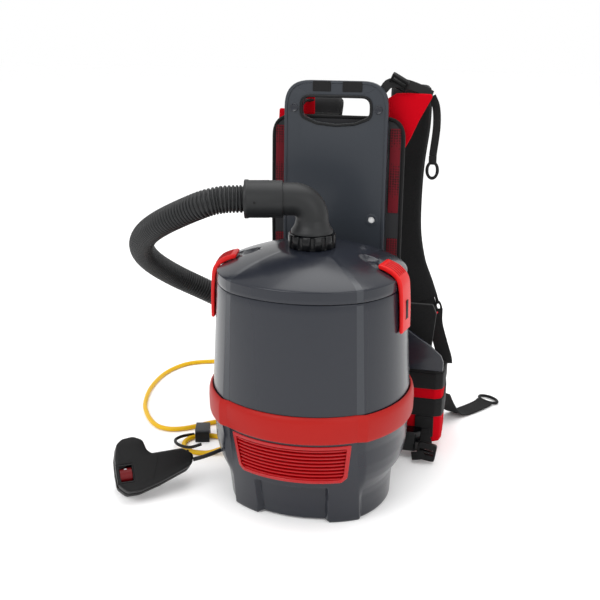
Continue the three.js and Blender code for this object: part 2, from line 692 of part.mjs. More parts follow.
// A panel behind the drum: upright below the bend, leaning back above it
function bentPanel(shape, front, thickness) {
  const whole = (y0, y1) => solidOf(frontPrism(shape, y0, y1));
  const lower = whole(front, front + thickness).intersect(solidOf(block(-400, 400, 0, 400, -50, PLATE_BEND)));
  const above = solidOf(block(-400, 400, 0, 400, PLATE_BEND - 0.5, 700));
  const upperFlat = whole(front, front + thickness).intersect(above);
  return lower.add(solidOf(leaning(geometryOf(upperFlat))));
}

function buildPlate() {
  const shape = roundedShape(PLATE_HALF_WIDTH, 60, PLATE_TOP + 0.3, 42);
  const slot = new THREE.Path();
  slot.moveTo(-40, 575);
  slot.absarc(-40, 563, 12, Math.PI / 2, Math.PI);
  slot.lineTo(-50, 548);
  slot.lineTo(-30, 539);
  slot.lineTo(0, 536);
  slot.lineTo(30, 539);
  slot.lineTo(50, 548);
  slot.absarc(40, 563, 12, 0, Math.PI / 2);
  shape.holes.push(slot);
  const accessoryHole = solidOf(frontPrism(roundHole(60, 393, 5), 100, 160));
  const counterbore = solidOf(frontPrism(roundHole(60, 393, 9), 100, PLATE_FRONT + 3));
  const plate = bentPanel(shape, PLATE_FRONT, PLATE_THICKNESS);
  add("back_plate", plate.subtract(accessoryHole).subtract(counterbore), "slate");
  const wing = [[62, 262], [100, 236], [126, 214], [158, 194], [188, 168], [188, 156], [62, 156]];
  SIDES.forEach(([name, side]) => {
    const screw = frontPrism(roundHole(side * 65, 559, 4.2), PLATE_FRONT - 2.6, PLATE_FRONT - GAP);
    add("plate_screw_" + name, leaning(screw), "steel");
    const wingShape = shapeOf(mirroredOutline(wing, side));
    add("hip_wing_" + name, frontPrism(wingShape, PLATE_FRONT + PLATE_THICKNESS + GAP, 146.4), "slate");
  });
  const foot = shapeOf([[-150, 132], [-142, 124], [142, 124], [150, 132], [150, 150], [-150, 150]]);
  add("lower_frame", planPrism(foot, 0.4, 46), "black");
}

function roundHole(x, z, radius) {
  const shape = new THREE.Shape();
  shape.absarc(x, z, radius, 0, 2 * Math.PI);
  return shape;
}

function mirroredOutline(points, side) {
  return side > 0 ? points : points.map(([x, z]) => [-x, z]).reverse();
}

// Soft harness: back pad, shoulder pads, hip pads, webbing and its hardware

// How each shoulder lies, with x measured outwards: the left one has folded in behind the back plate
const SHOULDERS = {
  left: {
    pad: [
      [34, 187, 545], [34, 200, 563], [37, 226, 557], [47, 248, 515], [55, 258, 455], [60, 256, 395],
      [66, 250, 345], [82, 240, 300], [106, 228, 265], [131, 219, 240],
    ],
    lifter: [[62, 157, 562], [58, 162, 567], [52, 168, 568], [46, 174, 566]],
    sternum: [[80, 206, 560], [82, 205, 540], [82, 205, 508], [81, 205, 477]],
    ring: [83, 205, 454],
  },
  right: {
    pad: [
      [106, 187, 562], [104, 200, 585], [103, 228, 574], [100, 250, 525], [92, 258, 460], [90, 256, 395],
      [93, 250, 345], [104, 240, 300], [120, 228, 265], [131, 219, 240],
    ],
    lifter: [[62, 158, 575], [72, 160, 592], [88, 166, 600], [106, 178, 597]],
    sternum: [[141.5, 206, 581], [143, 205, 556], [144, 205, 520], [141, 205, 482]],
    ring: [141, 205, 459],
  },
};

function buildHarness() {
  const across = new THREE.Vector3(1, 0, 0);
  add("back_pad", bentPanel(roundedShape(104, 178, 548, 34), 147, 22), "blackFabric");
  add("lumbar_pad", frontPrism(roundedShape(118, 50, 172, 14), 147, 174), "blackFabric");
  SIDES.forEach(([name, side]) => {
    const web = (node, points, wide, width, steps) =>
      add(node + "_" + name, strap(mirrored(points, side), wide, width, WEBBING, steps), "webbing");
    const lie = SHOULDERS[name];
    add("shoulder_pad_" + name, strap(mirrored(lie.pad, side), across, 58, 13, 14), "blackFabric");
    const hip = [
      [122, 150.4], [172, 150.4], [184, 156], [186, 170], [182, 225], [176, 258], [156, 258], [160, 225],
      [160, 190], [150, 176], [122, 176],
    ];
    add("hip_pad_" + name, planPrism(shapeOf(mirroredOutline(hip, side)), 18, 152), "redFabric");
    web("load_lifter", lie.lifter, across, 20, 8);
    const slanted = new THREE.Vector3(side, 0, 0.6);
    web("lower_strap", [[143, 211, 219], [158, 202, 200], [170, 192, 182], [178, 186, 166]], slanted, 24, 6);
    web("sternum_strap", lie.sternum, across, 16, 6);
    const waist = [[168, 262, 62], [176, 285, 35], [187, 303, 10], [200, 314, 3], [218, 338, 3], [234, 362, 3]];
    web("waist_strap", waist, new THREE.Vector3(side, -0.4, 0), 25, 10);
    const ring = ovalRing(18, 11, 6).rotateZ(side * -2.2);
    add("waist_ring_" + name, ring.translate(side * 247, 384, 0.6), "black");
    const [x, y, z] = lie.ring;
    add("sternum_ring_" + name, uprightRing(side * x, y, z, 11, 19), "black");
    add("strap_adjuster_" + name, uprightRing(side * 146, 215, 226.5, 15, 6), "black");
    const rise = side > 0 ? 0 : 10; // the left one hangs clear of the lead that turns under it
    const frame = solidOf(block(-16, 16, 110, 118, 1, 32)).subtract(solidOf(block(-11, 11, 100, 130, 9, 24)));
    add("hip_buckle_" + name, geometryOf(frame).translate(side * 162, 0, rise), "black");
  });
}

function ovalRing(halfLong, halfShort, height) {
  const shape = new THREE.Shape();
  shape.absellipse(0, 0, halfShort, halfLong, 0, 2 * Math.PI);
  const hole = new THREE.Path();
  hole.absellipse(0, 0, halfShort - 5, halfLong - 5, 0, 2 * Math.PI, true);
  shape.holes.push(hole);
  return extruded(shape, height, 8);
}

function uprightRing(x, y, z, halfWide, halfTall) {
  const shape = new THREE.Shape();
  shape.absellipse(x, z, halfWide, halfTall, 0, 2 * Math.PI);
  const hole = new THREE.Path();
  hole.absellipse(x, z, halfWide - 3.5, halfTall - 3.5, 0, 2 * Math.PI, true);
  shape.holes.push(hole);
  return frontPrism(shape, y - 2.5, y + 2.5);
}

buildBase();
buildGrille();
buildBelt();
buildDrum();
buildLid();
buildLatches();
buildInside();
buildElbow();
buildLeads();
buildHandset();
buildPlate();
buildHarness();

export default machine;
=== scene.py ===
# Backpack vacuum cleaner: the looks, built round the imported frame.
import json
import math
from math import cos, pi, radians, sin, sqrt

import bmesh
import bpy
import numpy as np
from mathutils import Matrix, Vector


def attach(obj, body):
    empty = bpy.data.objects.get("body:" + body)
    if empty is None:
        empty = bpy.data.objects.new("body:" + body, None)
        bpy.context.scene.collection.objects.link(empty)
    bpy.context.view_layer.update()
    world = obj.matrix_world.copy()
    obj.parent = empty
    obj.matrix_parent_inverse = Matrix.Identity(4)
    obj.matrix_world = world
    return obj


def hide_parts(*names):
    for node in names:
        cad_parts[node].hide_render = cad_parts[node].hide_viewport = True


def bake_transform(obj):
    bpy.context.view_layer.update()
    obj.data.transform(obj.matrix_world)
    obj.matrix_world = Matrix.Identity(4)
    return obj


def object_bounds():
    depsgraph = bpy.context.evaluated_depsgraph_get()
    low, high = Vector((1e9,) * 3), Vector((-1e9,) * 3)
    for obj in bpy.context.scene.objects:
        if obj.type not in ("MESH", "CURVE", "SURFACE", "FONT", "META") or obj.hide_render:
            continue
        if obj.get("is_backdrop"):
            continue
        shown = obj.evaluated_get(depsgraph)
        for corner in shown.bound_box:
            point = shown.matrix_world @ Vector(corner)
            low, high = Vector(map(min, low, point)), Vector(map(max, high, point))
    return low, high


MM = 0.001  # the helpers and every size below are in millimetres
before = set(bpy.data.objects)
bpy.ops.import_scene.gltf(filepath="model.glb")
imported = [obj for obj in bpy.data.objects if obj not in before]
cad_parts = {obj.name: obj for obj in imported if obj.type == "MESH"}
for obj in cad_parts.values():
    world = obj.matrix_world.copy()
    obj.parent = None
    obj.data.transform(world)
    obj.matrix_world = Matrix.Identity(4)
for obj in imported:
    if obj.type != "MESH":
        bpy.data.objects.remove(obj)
bounds_at_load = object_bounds()
SIDES = (("left", -1), ("right", 1))


# ---------- materials


def linear(r, g, b):
    return tuple(
        (c / 255 / 12.92) if c <= 10 else ((c / 255 + 0.055) / 1.055) ** 2.4
        for c in (r, g, b)
    ) + (1,)


def set_inputs(node, values):
    for socket, value in values.items():
        node.inputs[socket].default_value = value
    return node


def material(
    name, colour, rough, metal=0.0, coat=0.0, sheen=0.0, noise=0.0, scale=400.0, second=None, pattern=0.0,
    shine=0.3,
):
    made = bpy.data.materials.new(name)
    made.use_nodes = True
    nodes = made.node_tree.nodes
    links = made.node_tree.links
    shader = nodes["Principled BSDF"]
    set_inputs(shader, {
        "Base Color": linear(*colour), "Roughness": rough, "Metallic": metal, "Specular IOR Level": shine,
        "Coat Weight": coat, "Coat Roughness": 0.15, "Sheen Weight": sheen,
    })
    if noise or second:
        place = nodes.new("ShaderNodeTexCoord")
    if noise:
        grain = set_inputs(nodes.new("ShaderNodeTexNoise"), {"Scale": scale, "Detail": 3})
        bump = set_inputs(nodes.new("ShaderNodeBump"), {"Strength": noise, "Distance": 0.0008})
        links.new(place.outputs["Object"], grain.inputs["Vector"])
        links.new(grain.outputs["Fac"], bump.inputs["Height"])
        links.new(bump.outputs["Normal"], shader.inputs["Normal"])
    if second:  # open mesh cloth: dark holes in a coloured net
        cells = set_inputs(nodes.new("ShaderNodeTexVoronoi"), {"Scale": pattern, "Randomness": 0.15})
        step = nodes.new("ShaderNodeMath")
        step.operation = "LESS_THAN"
        step.inputs[1].default_value = 0.36
        mix = nodes.new("ShaderNodeMix")
        mix.data_type = "RGBA"
        mix.inputs["A"].default_value = linear(*colour)
        mix.inputs["B"].default_value = linear(*second)
        links.new(place.outputs["Object"], cells.inputs["Vector"])
        links.new(cells.outputs["Distance"], step.inputs[0])
        links.new(step.outputs[0], mix.inputs["Factor"])
        links.new(mix.outputs["Result"], shader.inputs["Base Color"])
    return made


SLATE = material("slate_plastic", (25, 28, 36), 0.27, coat=0.2, noise=0.02, scale=900)
# painted shade: a darker red along the latch's grip lines
GRIP_LINE_SHADE = material("grip_line_painted_shade", (146, 6, 10), 0.5, shine=0.2)
PLATE = material("plate_plastic", (42, 46, 52), 0.35, coat=0.1)
ROCKER = material("rocker_red", (92, 4, 10), 0.4, shine=0.2)
HOLE_WHITE = material("hole_light", (225, 225, 225), 0.6)
# painted highlight: a lighter slate for the narrow faces along the creases, where the light catches them
CREASE_HIGHLIGHT = material("crease_painted_highlight", (40, 43, 49), 0.25, coat=0.3)
BELT = material("belt_plastic", (150, 13, 5), 0.45, noise=0.03, scale=900, shine=0.2)
GRILLE = material("grille_plastic", (158, 2, 8), 0.34, coat=0.1)
LATCH = material("latch_plastic", (196, 14, 14), 0.4, shine=0.25)
BLACK = material("black_plastic", (7, 7, 8), 0.45, noise=0.08, scale=1500, shine=0.22)
GLOSS = material("black_gloss", (5, 6, 8), 0.25, coat=0.15, shine=0.2)
HOSE = material("hose_plastic", (25, 26, 27), 0.45, noise=0.03, scale=900)
# painted shade: near-black laid where shade falls in grooves, holes, slots and pockets
RECESS_SHADE = material("recess_painted_shade", (9, 9, 10), 0.7)
SEAL = material("seal_rubber", (30, 30, 31), 0.6)
RED_CLOTH = material("red_fabric", (176, 1, 18), 0.95, shine=0.08, noise=0.5, scale=1400)
BLACK_CLOTH = material("black_fabric", (14, 14, 15), 0.95, sheen=0.1, noise=0.7, scale=700)
RED_MESH = material("red_mesh", (92, 6, 20), 0.9, second=(16, 12, 12), pattern=260)
BLACK_MESH = material("black_mesh", (40, 40, 42), 0.95, second=(10, 10, 10), pattern=260)
WEB = material("webbing", (14, 14, 15), 0.8, noise=0.8, scale=900)
BINDING = material("binding", (9, 9, 10), 0.85, noise=0.5, scale=900)
YELLOW = material("cord_jacket", (214, 168, 2), 0.42)
STEEL = material("steel", (190, 192, 196), 0.3, metal=1.0)
GREY = material("grey_label", (150, 152, 156), 0.6)
LIGHT_GREY = material("clip_grey", (48, 49, 52), 0.5)
STITCH = material("red_stitch", (190, 30, 40), 0.9)

SLOT_OF = {
    SLATE: "slate_plastic", BELT: "belt_plastic", BLACK: "black_plastic", GLOSS: "black_plastic",
    BLACK_CLOTH: "black_fabric", STEEL: "steel",
}

# ---------- mesh helpers


def finish_mesh(mesh, angle):
    mesh.polygons.foreach_set("use_smooth", [True] * len(mesh.polygons))
    mesh.set_sharp_from_angle(angle=radians(angle))
    mesh.update()


def linked(name, data):
    """A new object in the scene."""
    obj = bpy.data.objects.new(name, data)
    bpy.context.collection.objects.link(obj)
    return obj


def raw(name, verts, faces):
    mesh = bpy.data.meshes.new(name)
    mesh.from_pydata([tuple(float(c) * MM for c in v) for v in verts], [], faces)
    work = bmesh.new()
    work.from_mesh(mesh)
    bmesh.ops.remove_doubles(work, verts=work.verts, dist=1e-6)
    bmesh.ops.recalc_face_normals(work, faces=work.faces)
    work.to_mesh(mesh)
    work.free()
    return linked(name, mesh)


def loft(name, rings, closed=True, caps=True, loop=False):
    """Rings of equally many points, joined in order."""
    count = len(rings[0])
    verts = [p for ring in rings for p in ring]
    faces = []
    for i in range(len(rings) if loop else len(rings) - 1):
        a, b = i * count, ((i + 1) % len(rings)) * count
        for j in range(count if closed else count - 1):
            k = (j + 1) % count
            faces.append((a + j, a + k, b + k, b + j))
    if caps and not loop:
        faces.append(tuple(range(count)))
        faces.append(tuple((len(rings) - 1) * count + j for j in range(count)))
    return raw(name, verts, faces)


def turned(name, profile, segments=64, axis=None, origin=(0, 0, 0)):
    """Profile of (radius, height) turned about Z, or about axis from origin."""
    rings = [[Vector((r * cos(t), r * sin(t), z)) for t in around(segments)] for r, z in profile]
    if axis is not None:
        turn = Vector((0, 0, 1)).rotation_difference(Vector(axis).normalized()).to_matrix()
        rings = [[turn @ p for p in ring] for ring in rings]
    base = Vector(origin)
    return loft(name, [[p + base for p in ring] for ring in rings])


def evaluated_mesh(obj):
    bpy.context.view_layer.update()
    return bpy.data.meshes.new_from_object(obj.evaluated_get(bpy.context.evaluated_depsgraph_get()))


def plate(name, outlines, low, high, bevel=0.8, to=None, cuts=()):
    """Flat outlines (outside first, then holes) from low to high, edges rounded. to maps (x, y, z)."""
    curve = bpy.data.curves.new(name, "CURVE")
    curve.dimensions = "2D"
    curve.fill_mode = "BOTH"
    curve.extrude = ((high - low) / 2 - bevel) * MM
    curve.bevel_depth = bevel * MM
    curve.bevel_resolution = 3
    curve.offset = -bevel * MM
    for points in outlines:
        spline = curve.splines.new("POLY")
        spline.points.add(len(points) - 1)
        for point, (x, y) in zip(spline.points, points):
            point.co = (x * MM, y * MM, 0, 1)
        spline.use_cyclic_u = True
    holder = linked(name, curve)
    mesh = evaluated_mesh(holder)
    bpy.data.objects.remove(holder)
    obj = linked(name, mesh)
    work = bmesh.new()
    work.from_mesh(mesh)
    bmesh.ops.remove_doubles(work, verts=work.verts, dist=1e-6)
    middle = (low + high) / 2
    for v in work.verts:
        v.co.z += middle * MM
    for height in cuts:
        parts = work.verts[:] + work.edges[:] + work.faces[:]
        bmesh.ops.bisect_plane(work, geom=parts, plane_co=(0, height * MM, 0), plane_no=(0, 1, 0))
    if to:
        for v in work.verts:
            v.co = Vector(to(*(c / MM for c in v.co))) * MM
    bmesh.ops.recalc_face_normals(work, faces=work.faces)
    work.to_mesh(mesh)
    work.free()
    return obj


def slab(mat, *args):
    """A painted plate; what follows the material goes to plate."""
    return painted(plate(*args), mat)


def join(name, *objs):
    work = bmesh.new()
    slots = []
    for o in objs:
        part = bmesh.new()
        part.from_mesh(o.data)
        part.transform(o.matrix_world)
        used = list(o.data.materials)
        for m in used:
            if m not in slots:
                slots.append(m)
        for f in part.faces:
            f.material_index = slots.index(used[f.material_index]) if used else 0
        temp = bpy.data.meshes.new("part")
        part.to_mesh(temp)
        part.free()
        work.from_mesh(temp)
        bpy.data.meshes.remove(temp)
    mesh = bpy.data.meshes.new(name)
    work.to_mesh(mesh)
    work.free()
    for m in slots:
        mesh.materials.append(m)
    for o in objs:
        bpy.data.objects.remove(o)
    return linked(name, mesh)


def painted(obj, mat):
    obj.data.materials.clear()
    obj.data.materials.append(mat)
    return obj


def settle(obj, node, slot, body="machine", angle=35):
    """Smooths a painted piece, puts it on its body and hides the CAD node it stands for; slot is not used."""
    finish_mesh(obj.data, angle)
    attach(obj, body)
    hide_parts(node)
    return obj


def place(obj, mat, node, body="machine", angle=35):
    """As settle, for a piece of a single material."""
    return settle(painted(obj, mat), node, SLOT_OF[mat], body, angle)


def box(name, x, y, z, bevel):
    """A box from its three ranges, with rounded edges."""
    verts = [(a, b, c) for a in x for b in y for c in z]
    faces = [(0, 1, 3, 2), (4, 6, 7, 5), (0, 4, 5, 1), (2, 3, 7, 6), (0, 2, 6, 4), (1, 5, 7, 3)]
    obj = raw(name, verts, faces)
    mod = obj.modifiers.new("bevel", "BEVEL")
    mod.width = bevel * MM
    mod.segments = 3
    mod.limit_method = "ANGLE"
    mod.angle_limit = radians(30)
    mesh = evaluated_mesh(obj)
    obj.modifiers.clear()
    obj.data = mesh
    return obj


def smooth_line(points, step=3.0):
    """A Catmull-Rom line through the points, in even steps."""
    pts = [Vector(p) for p in points]
    pts = [2 * pts[0] - pts[1]] + pts + [2 * pts[-1] - pts[-2]]
    dense = []
    for i in range(1, len(pts) - 2):
        for k in range(24):
            t = k / 24
            a, b, c, d = pts[i - 1 : i + 3]
            square, cube = 2 * a - 5 * b + 4 * c - d, 3 * b - a - 3 * c + d
            dense.append(0.5 * (2 * b + (c - a) * t + square * t * t + cube * t**3))
    dense.append(pts[-2])
    dist = [0.0]
    for p, q in zip(dense, dense[1:]):
        dist.append(dist[-1] + (q - p).length)
    count = max(2, round(dist[-1] / step))
    flat = np.array(dense)
    at = np.linspace(0, dist[-1], count + 1)
    return [
        Vector(p)
        for p in np.column_stack([np.interp(at, dist, flat[:, k]) for k in range(flat.shape[1])])
    ]


def length_of(points):
    return sum((q - p).length for p, q in zip(points, points[1:]))


def frames_along(points):
    """A direction and two directions square to it at each point, without twist."""
    out = []
    previous = None
    for i, p in enumerate(points):
        tangent = (points[min(i + 1, len(points) - 1)] - points[max(i - 1, 0)]).normalized()
        if previous is None:
            first = tangent.cross(Vector((0, 0, 1)))
            if first.length < 0.1:
                first = tangent.cross(Vector((1, 0, 0)))
        else:
            first = previous - tangent * previous.dot(tangent)
        first.normalize()
        previous = first
        out.append((p, tangent, first, tangent.cross(first)))
    return out


def around(count):
    """Evenly spaced angles of a full turn."""
    return [2 * pi * k / count for k in range(count)]


def hoop(centre, u, v, r, sides):
    return [centre + u * (r * cos(t)) + v * (r * sin(t)) for t in around(sides)]


def pipe(name, points, radius, sides=20):
    """A tube along points; radius is a number, or a function of the share of the way along."""
    rings = []
    for i, (p, _, u, v) in enumerate(frames_along(points)):
        r = radius(i / (len(points) - 1)) if callable(radius) else radius
        rings.append(hoop(p, u, v, r, sides))
    return loft(name, rings)


def ribbon(name, points, across, width, thick, step=4.0, bulge=0.0):
    """A strap or a pad along points, its width lying along a direction; a thick one has rounder sides."""
    line = smooth_line(points, step)
    total = len(line) - 1
    count, side_power, face_power = (24, 0.35, 0.6) if thick > 5 else (12, 0.2, 0.25)
    rings = []
    for i, p in enumerate(line):
        tangent = (line[min(i + 1, total)] - line[max(i - 1, 0)]).normalized()
        way = Vector(across)
        wide = (way - tangent * way.dot(tangent)).normalized()
        up = tangent.cross(wide)
        cross = []
        for t in around(count):
            cx = math.copysign(abs(cos(t)) ** side_power, cos(t))
            cy = math.copysign(abs(sin(t)) ** face_power, sin(t))
            cross.append(p + wide * (width / 2 * cx) + up * (thick / 2 * cy * (1 + bulge * (1 - cx * cx))))
        rings.append(cross)
    return loft(name, rings)


def lerp(a, b, t):
    return a + (b - a) * t


def ease(x, low, high):
    t = min(1, max(0, (x - low) / (high - low)))
    return t * t * (3 - 2 * t)


def circle(x, y, r, count=32):
    return [(x + r * cos(t), y + r * sin(t)) for t in around(count)]


def half_circle(x, y, r, begin, steps):
    """Half a turn of points, from an angle in radians."""
    turn = [begin + pi * k / steps for k in range(steps + 1)]
    return [(x + r * cos(t), y + r * sin(t)) for t in turn]


def rect(x0, x1, y0, y1):
    return [(x0, y0), (x1, y0), (x1, y1), (x0, y1)]


def mirrored(side, points):
    return [(side * x, *rest) for x, *rest in points]


def rounded(points, radius, steps=5):
    """Rounds each corner of a closed outline; radius is one number or one per corner."""
    out = []
    n = len(points)
    for i, p in enumerate(points):
        a, b, c = Vector(points[i - 1]), Vector(p), Vector(points[(i + 1) % n])
        r = radius[i] if isinstance(radius, (list, tuple)) else radius
        u, v = (a - b), (c - b)
        half = math.acos(max(-1, min(1, u.normalized().dot(v.normalized())))) / 2
        back = min(r / max(math.tan(half), 1e-3), u.length * 0.48, v.length * 0.48)
        start, end = b + u.normalized() * back, b + v.normalized() * back
        for k in range(steps + 1):
            t = k / steps
            q = start * (1 - t) ** 2 + b * 2 * t * (1 - t) + end * t * t
            out.append((q.x, q.y))
    return out


# ---------- camera, hose, cords

# Camera: azimuth 15.17 degrees, elevation 18.07 degrees, perspective.
camera_data = bpy.data.cameras.new("camera")
camera_data.sensor_width = 36
camera_data.lens = 54.84
camera = linked("camera", camera_data)
camera.location = (0.3137, -1.2224, 0.7118)
aim = Vector((-0.0165, -0.0045, 0.3)) - camera.location
camera.rotation_euler = aim.to_track_quat("-Z", "Y").to_euler()
bpy.context.scene.camera = camera

HOSE_AIM = Vector((-0.965, -0.262, 0)).normalized()
HOSE_HEIGHT = 449
HOSE_ROUTE = [
    (-96.2, -26.1, 449), (-124, -33.6, 447.5), (-156, -38, 438), (-219, -21, 407), (-267, 20, 374),
    (-298, 73, 338), (-308, 131, 300), (-295, 189, 261), (-255, 233, 224), (-203, 266, 187),
    (-152, 293, 146), (-101, 318, 104), (-47, 339, 64), (4, 351, 38), (50, 355, 24), (98, 350, 22.5),
]
CORD_RADIUS = 4
ON_FLOOR = 4.4  # height of the lead's middle where it lies on the floor
CORD_ROUTE = [
    (-131, 52.4, 24), (-148, 57, 19), (-167, 54.5, 10), (-186, 46.5, 4.6),
    *((x, y, ON_FLOOR) for x, y in (
        (-206, 42.5), (-223, 46.8), (-234.7, 58.5), (-239, 74.5), (-234.7, 90.5), (-223, 102.2),
        (-207, 106.5), (-188, 106.5), (-172, 110.8), (-160.3, 122.5), (-156, 138.5), (-160.3, 154.5),
        (-172, 166.2), (-188, 170.5), (-204, 167), (-222, 154), (-242, 135), (-262, 119.5), (-284, 112),
        (-307, 117), (-329, 136), (-350, 164), (-369, 200), (-388, 268), (-390, 345), (-366, 402),
        (-316, 430), (-262, 442), (-205, 455), (-164, 456), (-138, 442), (-128, 419),
    )),
]
CABLE_ROUTE = [
    (-176.2, -45.1, 40.6), (-163, -35, 42), (-149, -20, 44), (-138, -4, 45), (-131, 8, 45), (-126, 20, 45),
]
COIL = (-64, 442)


def build_hose():
    pitch = 5.2
    per_rib = 6
    line = smooth_line([(-86, -23.4, 449), *HOSE_ROUTE], pitch / per_rib)
    offsets = [0.0, 0.0, 0.5, 2.4, 2.4, 0.5]
    frames = frames_along(line)
    rings = [hoop(p, u, v, 19.6 - offsets[i % per_rib], 36) for i, (p, _, u, v) in enumerate(frames)]
    hose = loft("suction_hose_ribbed", rings)
    hose.data.materials.append(HOSE)
    finish_mesh(hose.data, 50)
    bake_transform(hose)
    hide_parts("suction_hose")
    aim_end = Vector((60, -9, 0)).normalized()
    profile = [
        (0, 0), (20.5, 0), (21.6, 1), (22, 3), (22, 10), (21.3, 11), (21.3, 14), (22, 15), (22, 26),
        (19, 30), (17.4, 60), (16.6, 62), (0, 62),
    ]
    end = turned("hose_connector_cuff", profile, 48, axis=aim_end, origin=(99.4, 349.8, 22.5))
    place(end, BLACK, "hose_connector")
    path = [p * MM for p in line[::6]] + [line[-1] * MM]
    length_of(line) * MM


def cord_curve(name, points, radius, mat):
    curve = bpy.data.curves.new(name, "CURVE")
    curve.dimensions = "3D"
    curve.bevel_depth = radius * MM
    curve.bevel_resolution = 5
    curve.use_fill_caps = True
    spline = curve.splines.new("POLY")
    spline.points.add(len(points) - 1)
    for point, p in zip(spline.points, points):
        point.co = (*(p * MM), 1)
    spline.use_smooth = True
    obj = linked(name, curve)
    obj.data.materials.append(mat)
    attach(obj, "machine")
    return obj


def coil_points():
    """Four layers of turns round the coil's centre, out and in by turns."""
    pitch, lift, start, turns, outer = 8.3, 8.3, 200, 3.076, 61.5
    points = []
    per_turn = 24
    steps = round(turns * per_turn)
    for layer in range(4):
        for k in range(steps):
            share = k / steps
            r = outer - pitch * turns * (share if layer % 2 == 0 else 1 - share)
            z = ON_FLOOR + lift * (layer - (1 - ease(share, 0, 0.1) if layer else 0))
            t = radians(start + 360 * turns * (layer + share))
            points.append(Vector((COIL[0] + r * cos(t), COIL[1] + r * sin(t), z)))
    return points


def build_cords():
    tail = [
        (-24.5, 395, 29.3), (-6, 411, 29.3), (5, 432, 28.5), (6, 455, 27), (6, 471, 25.5), (8.6, 484, 24),
        (16, 495, 22), (27, 502.4, 20.5), (38, 505, 20),
    ]
    whole = smooth_line([*CORD_ROUTE[:-1], *coil_points(), *tail], 2.5)
    lead = cord_curve("mains_lead", whole, CORD_RADIUS, YELLOW)
    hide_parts("power_cord", "power_cord_coil")
    plug_outline = rounded([(38, 487), (74, 487), (82, 494), (82, 516), (74, 523), (38, 523)], 3)
    plug = plate("mains_plug", [plug_outline], 0.6, 40, 2.5)
    place(plug, BLACK, "power_plug")
    exit_at = Vector(CORD_ROUTE[0]) * MM
    clip = build_clip()
    length_of(whole) * MM
    cable_line = smooth_line(CABLE_ROUTE, 3)
    cable = cord_curve("handset_lead", cable_line, 3.2, SEAL)
    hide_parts("handset_cable")
    Vector(CABLE_ROUTE[0]) * MM
    length_of(cable_line) * MM
    gland = turned(
        "lead_gland", [(4.2, -3), (9, -3), (9, 4), (7.4, 7), (6.4, 13), (5.4, 20), (4.2, 20)], 32,
        axis=(-0.929, 0.371, 0), origin=(-116.2, 46.5, 24),
    )
    place(gland, BLACK, "cord_gland")


def build_clip():
    turn = Matrix.Rotation(0.3, 3, "Z")

    def to(x, y, z):
        return turn @ Vector((z, x, y)) + Vector((-218, 103, 0))

    arch = [(-17, 0.4), (-13.5, 0.4), (-13.5, 13), (13.5, 13), (13.5, 0.4), (17, 0.4), (17, 22), (-17, 22)]
    arch = rounded(arch, [0.6, 0.6, 2, 2, 0.6, 0.6, 2.5, 2.5])
    clip = slab(LIGHT_GREY, "clip_arch", [arch], -12, 12, 0.8, to)
    front = slab(BLACK, "clip_front", [rounded(rect(-17.6, -16.9, 1, 19), 0.2)], -11, 11, 0.2, to)
    loop_points = [
        (-232, 97, 8), (-246, 82, 10), (-252, 66, 11), (-246, 52, 12), (-232, 42, 13), (-214, 36, 16),
        (-196, 40, 22),
    ]
    loop = painted(pipe("clip_tether", smooth_line(loop_points, 3), 2.6, 12), BLACK)
    return settle(join("lead_clip", clip, front, loop), "cord_clip", "black_plastic")


# ---------- the casing's outline

BACK_FLAT = 129.6  # depth of the flat back behind the axis
FACET_RADIUS = 168
SIDE_ANGLE = 97  # where the side radius is reached, from the front
BELT_LOW, BELT_HIGH = 137, 177
DRUM_TOP = 334.2
LID_LOW, LID_SHOULDER, LID_TOP = 335, 351, 381
DOME_POWER = 1.27  # 2 would make the dome a quarter ellipse in section, 1 a straight cone
LATCH_ANGLE = 80  # from the front, to either side
PIVOT_OUT, PIVOT_UP = 142.7, 277.5  # a latch pin's distance from the axis and its height
CREASE_ANGLES = (39.4, 39.8, 40.2, 40.6, 44.4, 44.8, 45.2, 45.6)


def angles_with(*extra):
    """Angles round the casing every 1.5 degrees, and closer together at the given ones on both sides."""
    close = {float(s * a) for s in (-1, 1) for a in extra}
    return sorted({float(a) for a in np.arange(-180, 180, 1.5)} | close)


FINE = angles_with(*CREASE_ANGLES)


def section(side, front, near=None, crease=40.0, blend=5.0, facet=FACET_RADIUS, back=BACK_FLAT):
    """The plan outline's side radius, front depth, radius where the side begins, creases, facet and back."""
    return dict(side=side, front=front, near=near or side, crease=crease, blend=blend, facet=facet, back=back)


def outline_radius(angle, side, front, near, crease, blend, facet, back):
    from_front = abs(angle)
    offset = facet - front

    def depth(degrees):
        t = radians(degrees)
        return -offset * cos(t) + sqrt(facet**2 - (offset * sin(t)) ** 2)

    if from_front <= crease:
        return depth(from_front)
    share = min(1, (from_front - crease) / blend)
    begins = crease + blend
    along = min(1, max(0, (from_front - begins) / (SIDE_ANGLE - begins)))
    base = lerp(depth(crease), lerp(near, side, along), share)
    behind = cos(radians(180 - from_front))
    return min(base, back / behind) if behind > 0.05 else base


def soft_radius(angle, section, width=0.4):
    """The outline's radius averaged over a few angles close together."""
    near = [((angle + width * d + 180) % 360) - 180 for d in (-1, -0.5, 0, 0.5, 1)]
    return sum(outline_radius(a, **section) for a in near) / len(near)


def polar(angle, r, z):
    """The point at an angle from the front, a radius and a height."""
    t = radians(angle)
    return r * sin(t), -r * cos(t), z


def ring(z, section, inset=0.0, angles=FINE, adjust=None):
    out = []
    for a in angles:
        r = soft_radius(a, section) - inset
        point = polar(a, r, z)
        out.append(adjust(*point, a, r) if adjust else point)
    return out


def between(table, z):
    """The section at a height, from a table of (height, section)."""
    for (z0, s0), (z1, s1) in zip(table, table[1:]):
        if z <= z1:
            t = (z - z0) / (z1 - z0) if z1 > z0 else 1
            return {k: lerp(s0[k], s1[k], max(0, t)) for k in s0}
    return dict(table[-1][1])


# ---------- base, grille, belt, drum


def apron(z, side, near):
    """The base's section at a height: the creases close in and the front comes forward towards the belt."""
    share = z / BELT_LOW
    return section(side, 112 + 25 * share, near, crease=48.5 - 8.5 * share, blend=2.5 + 2.5 * share)


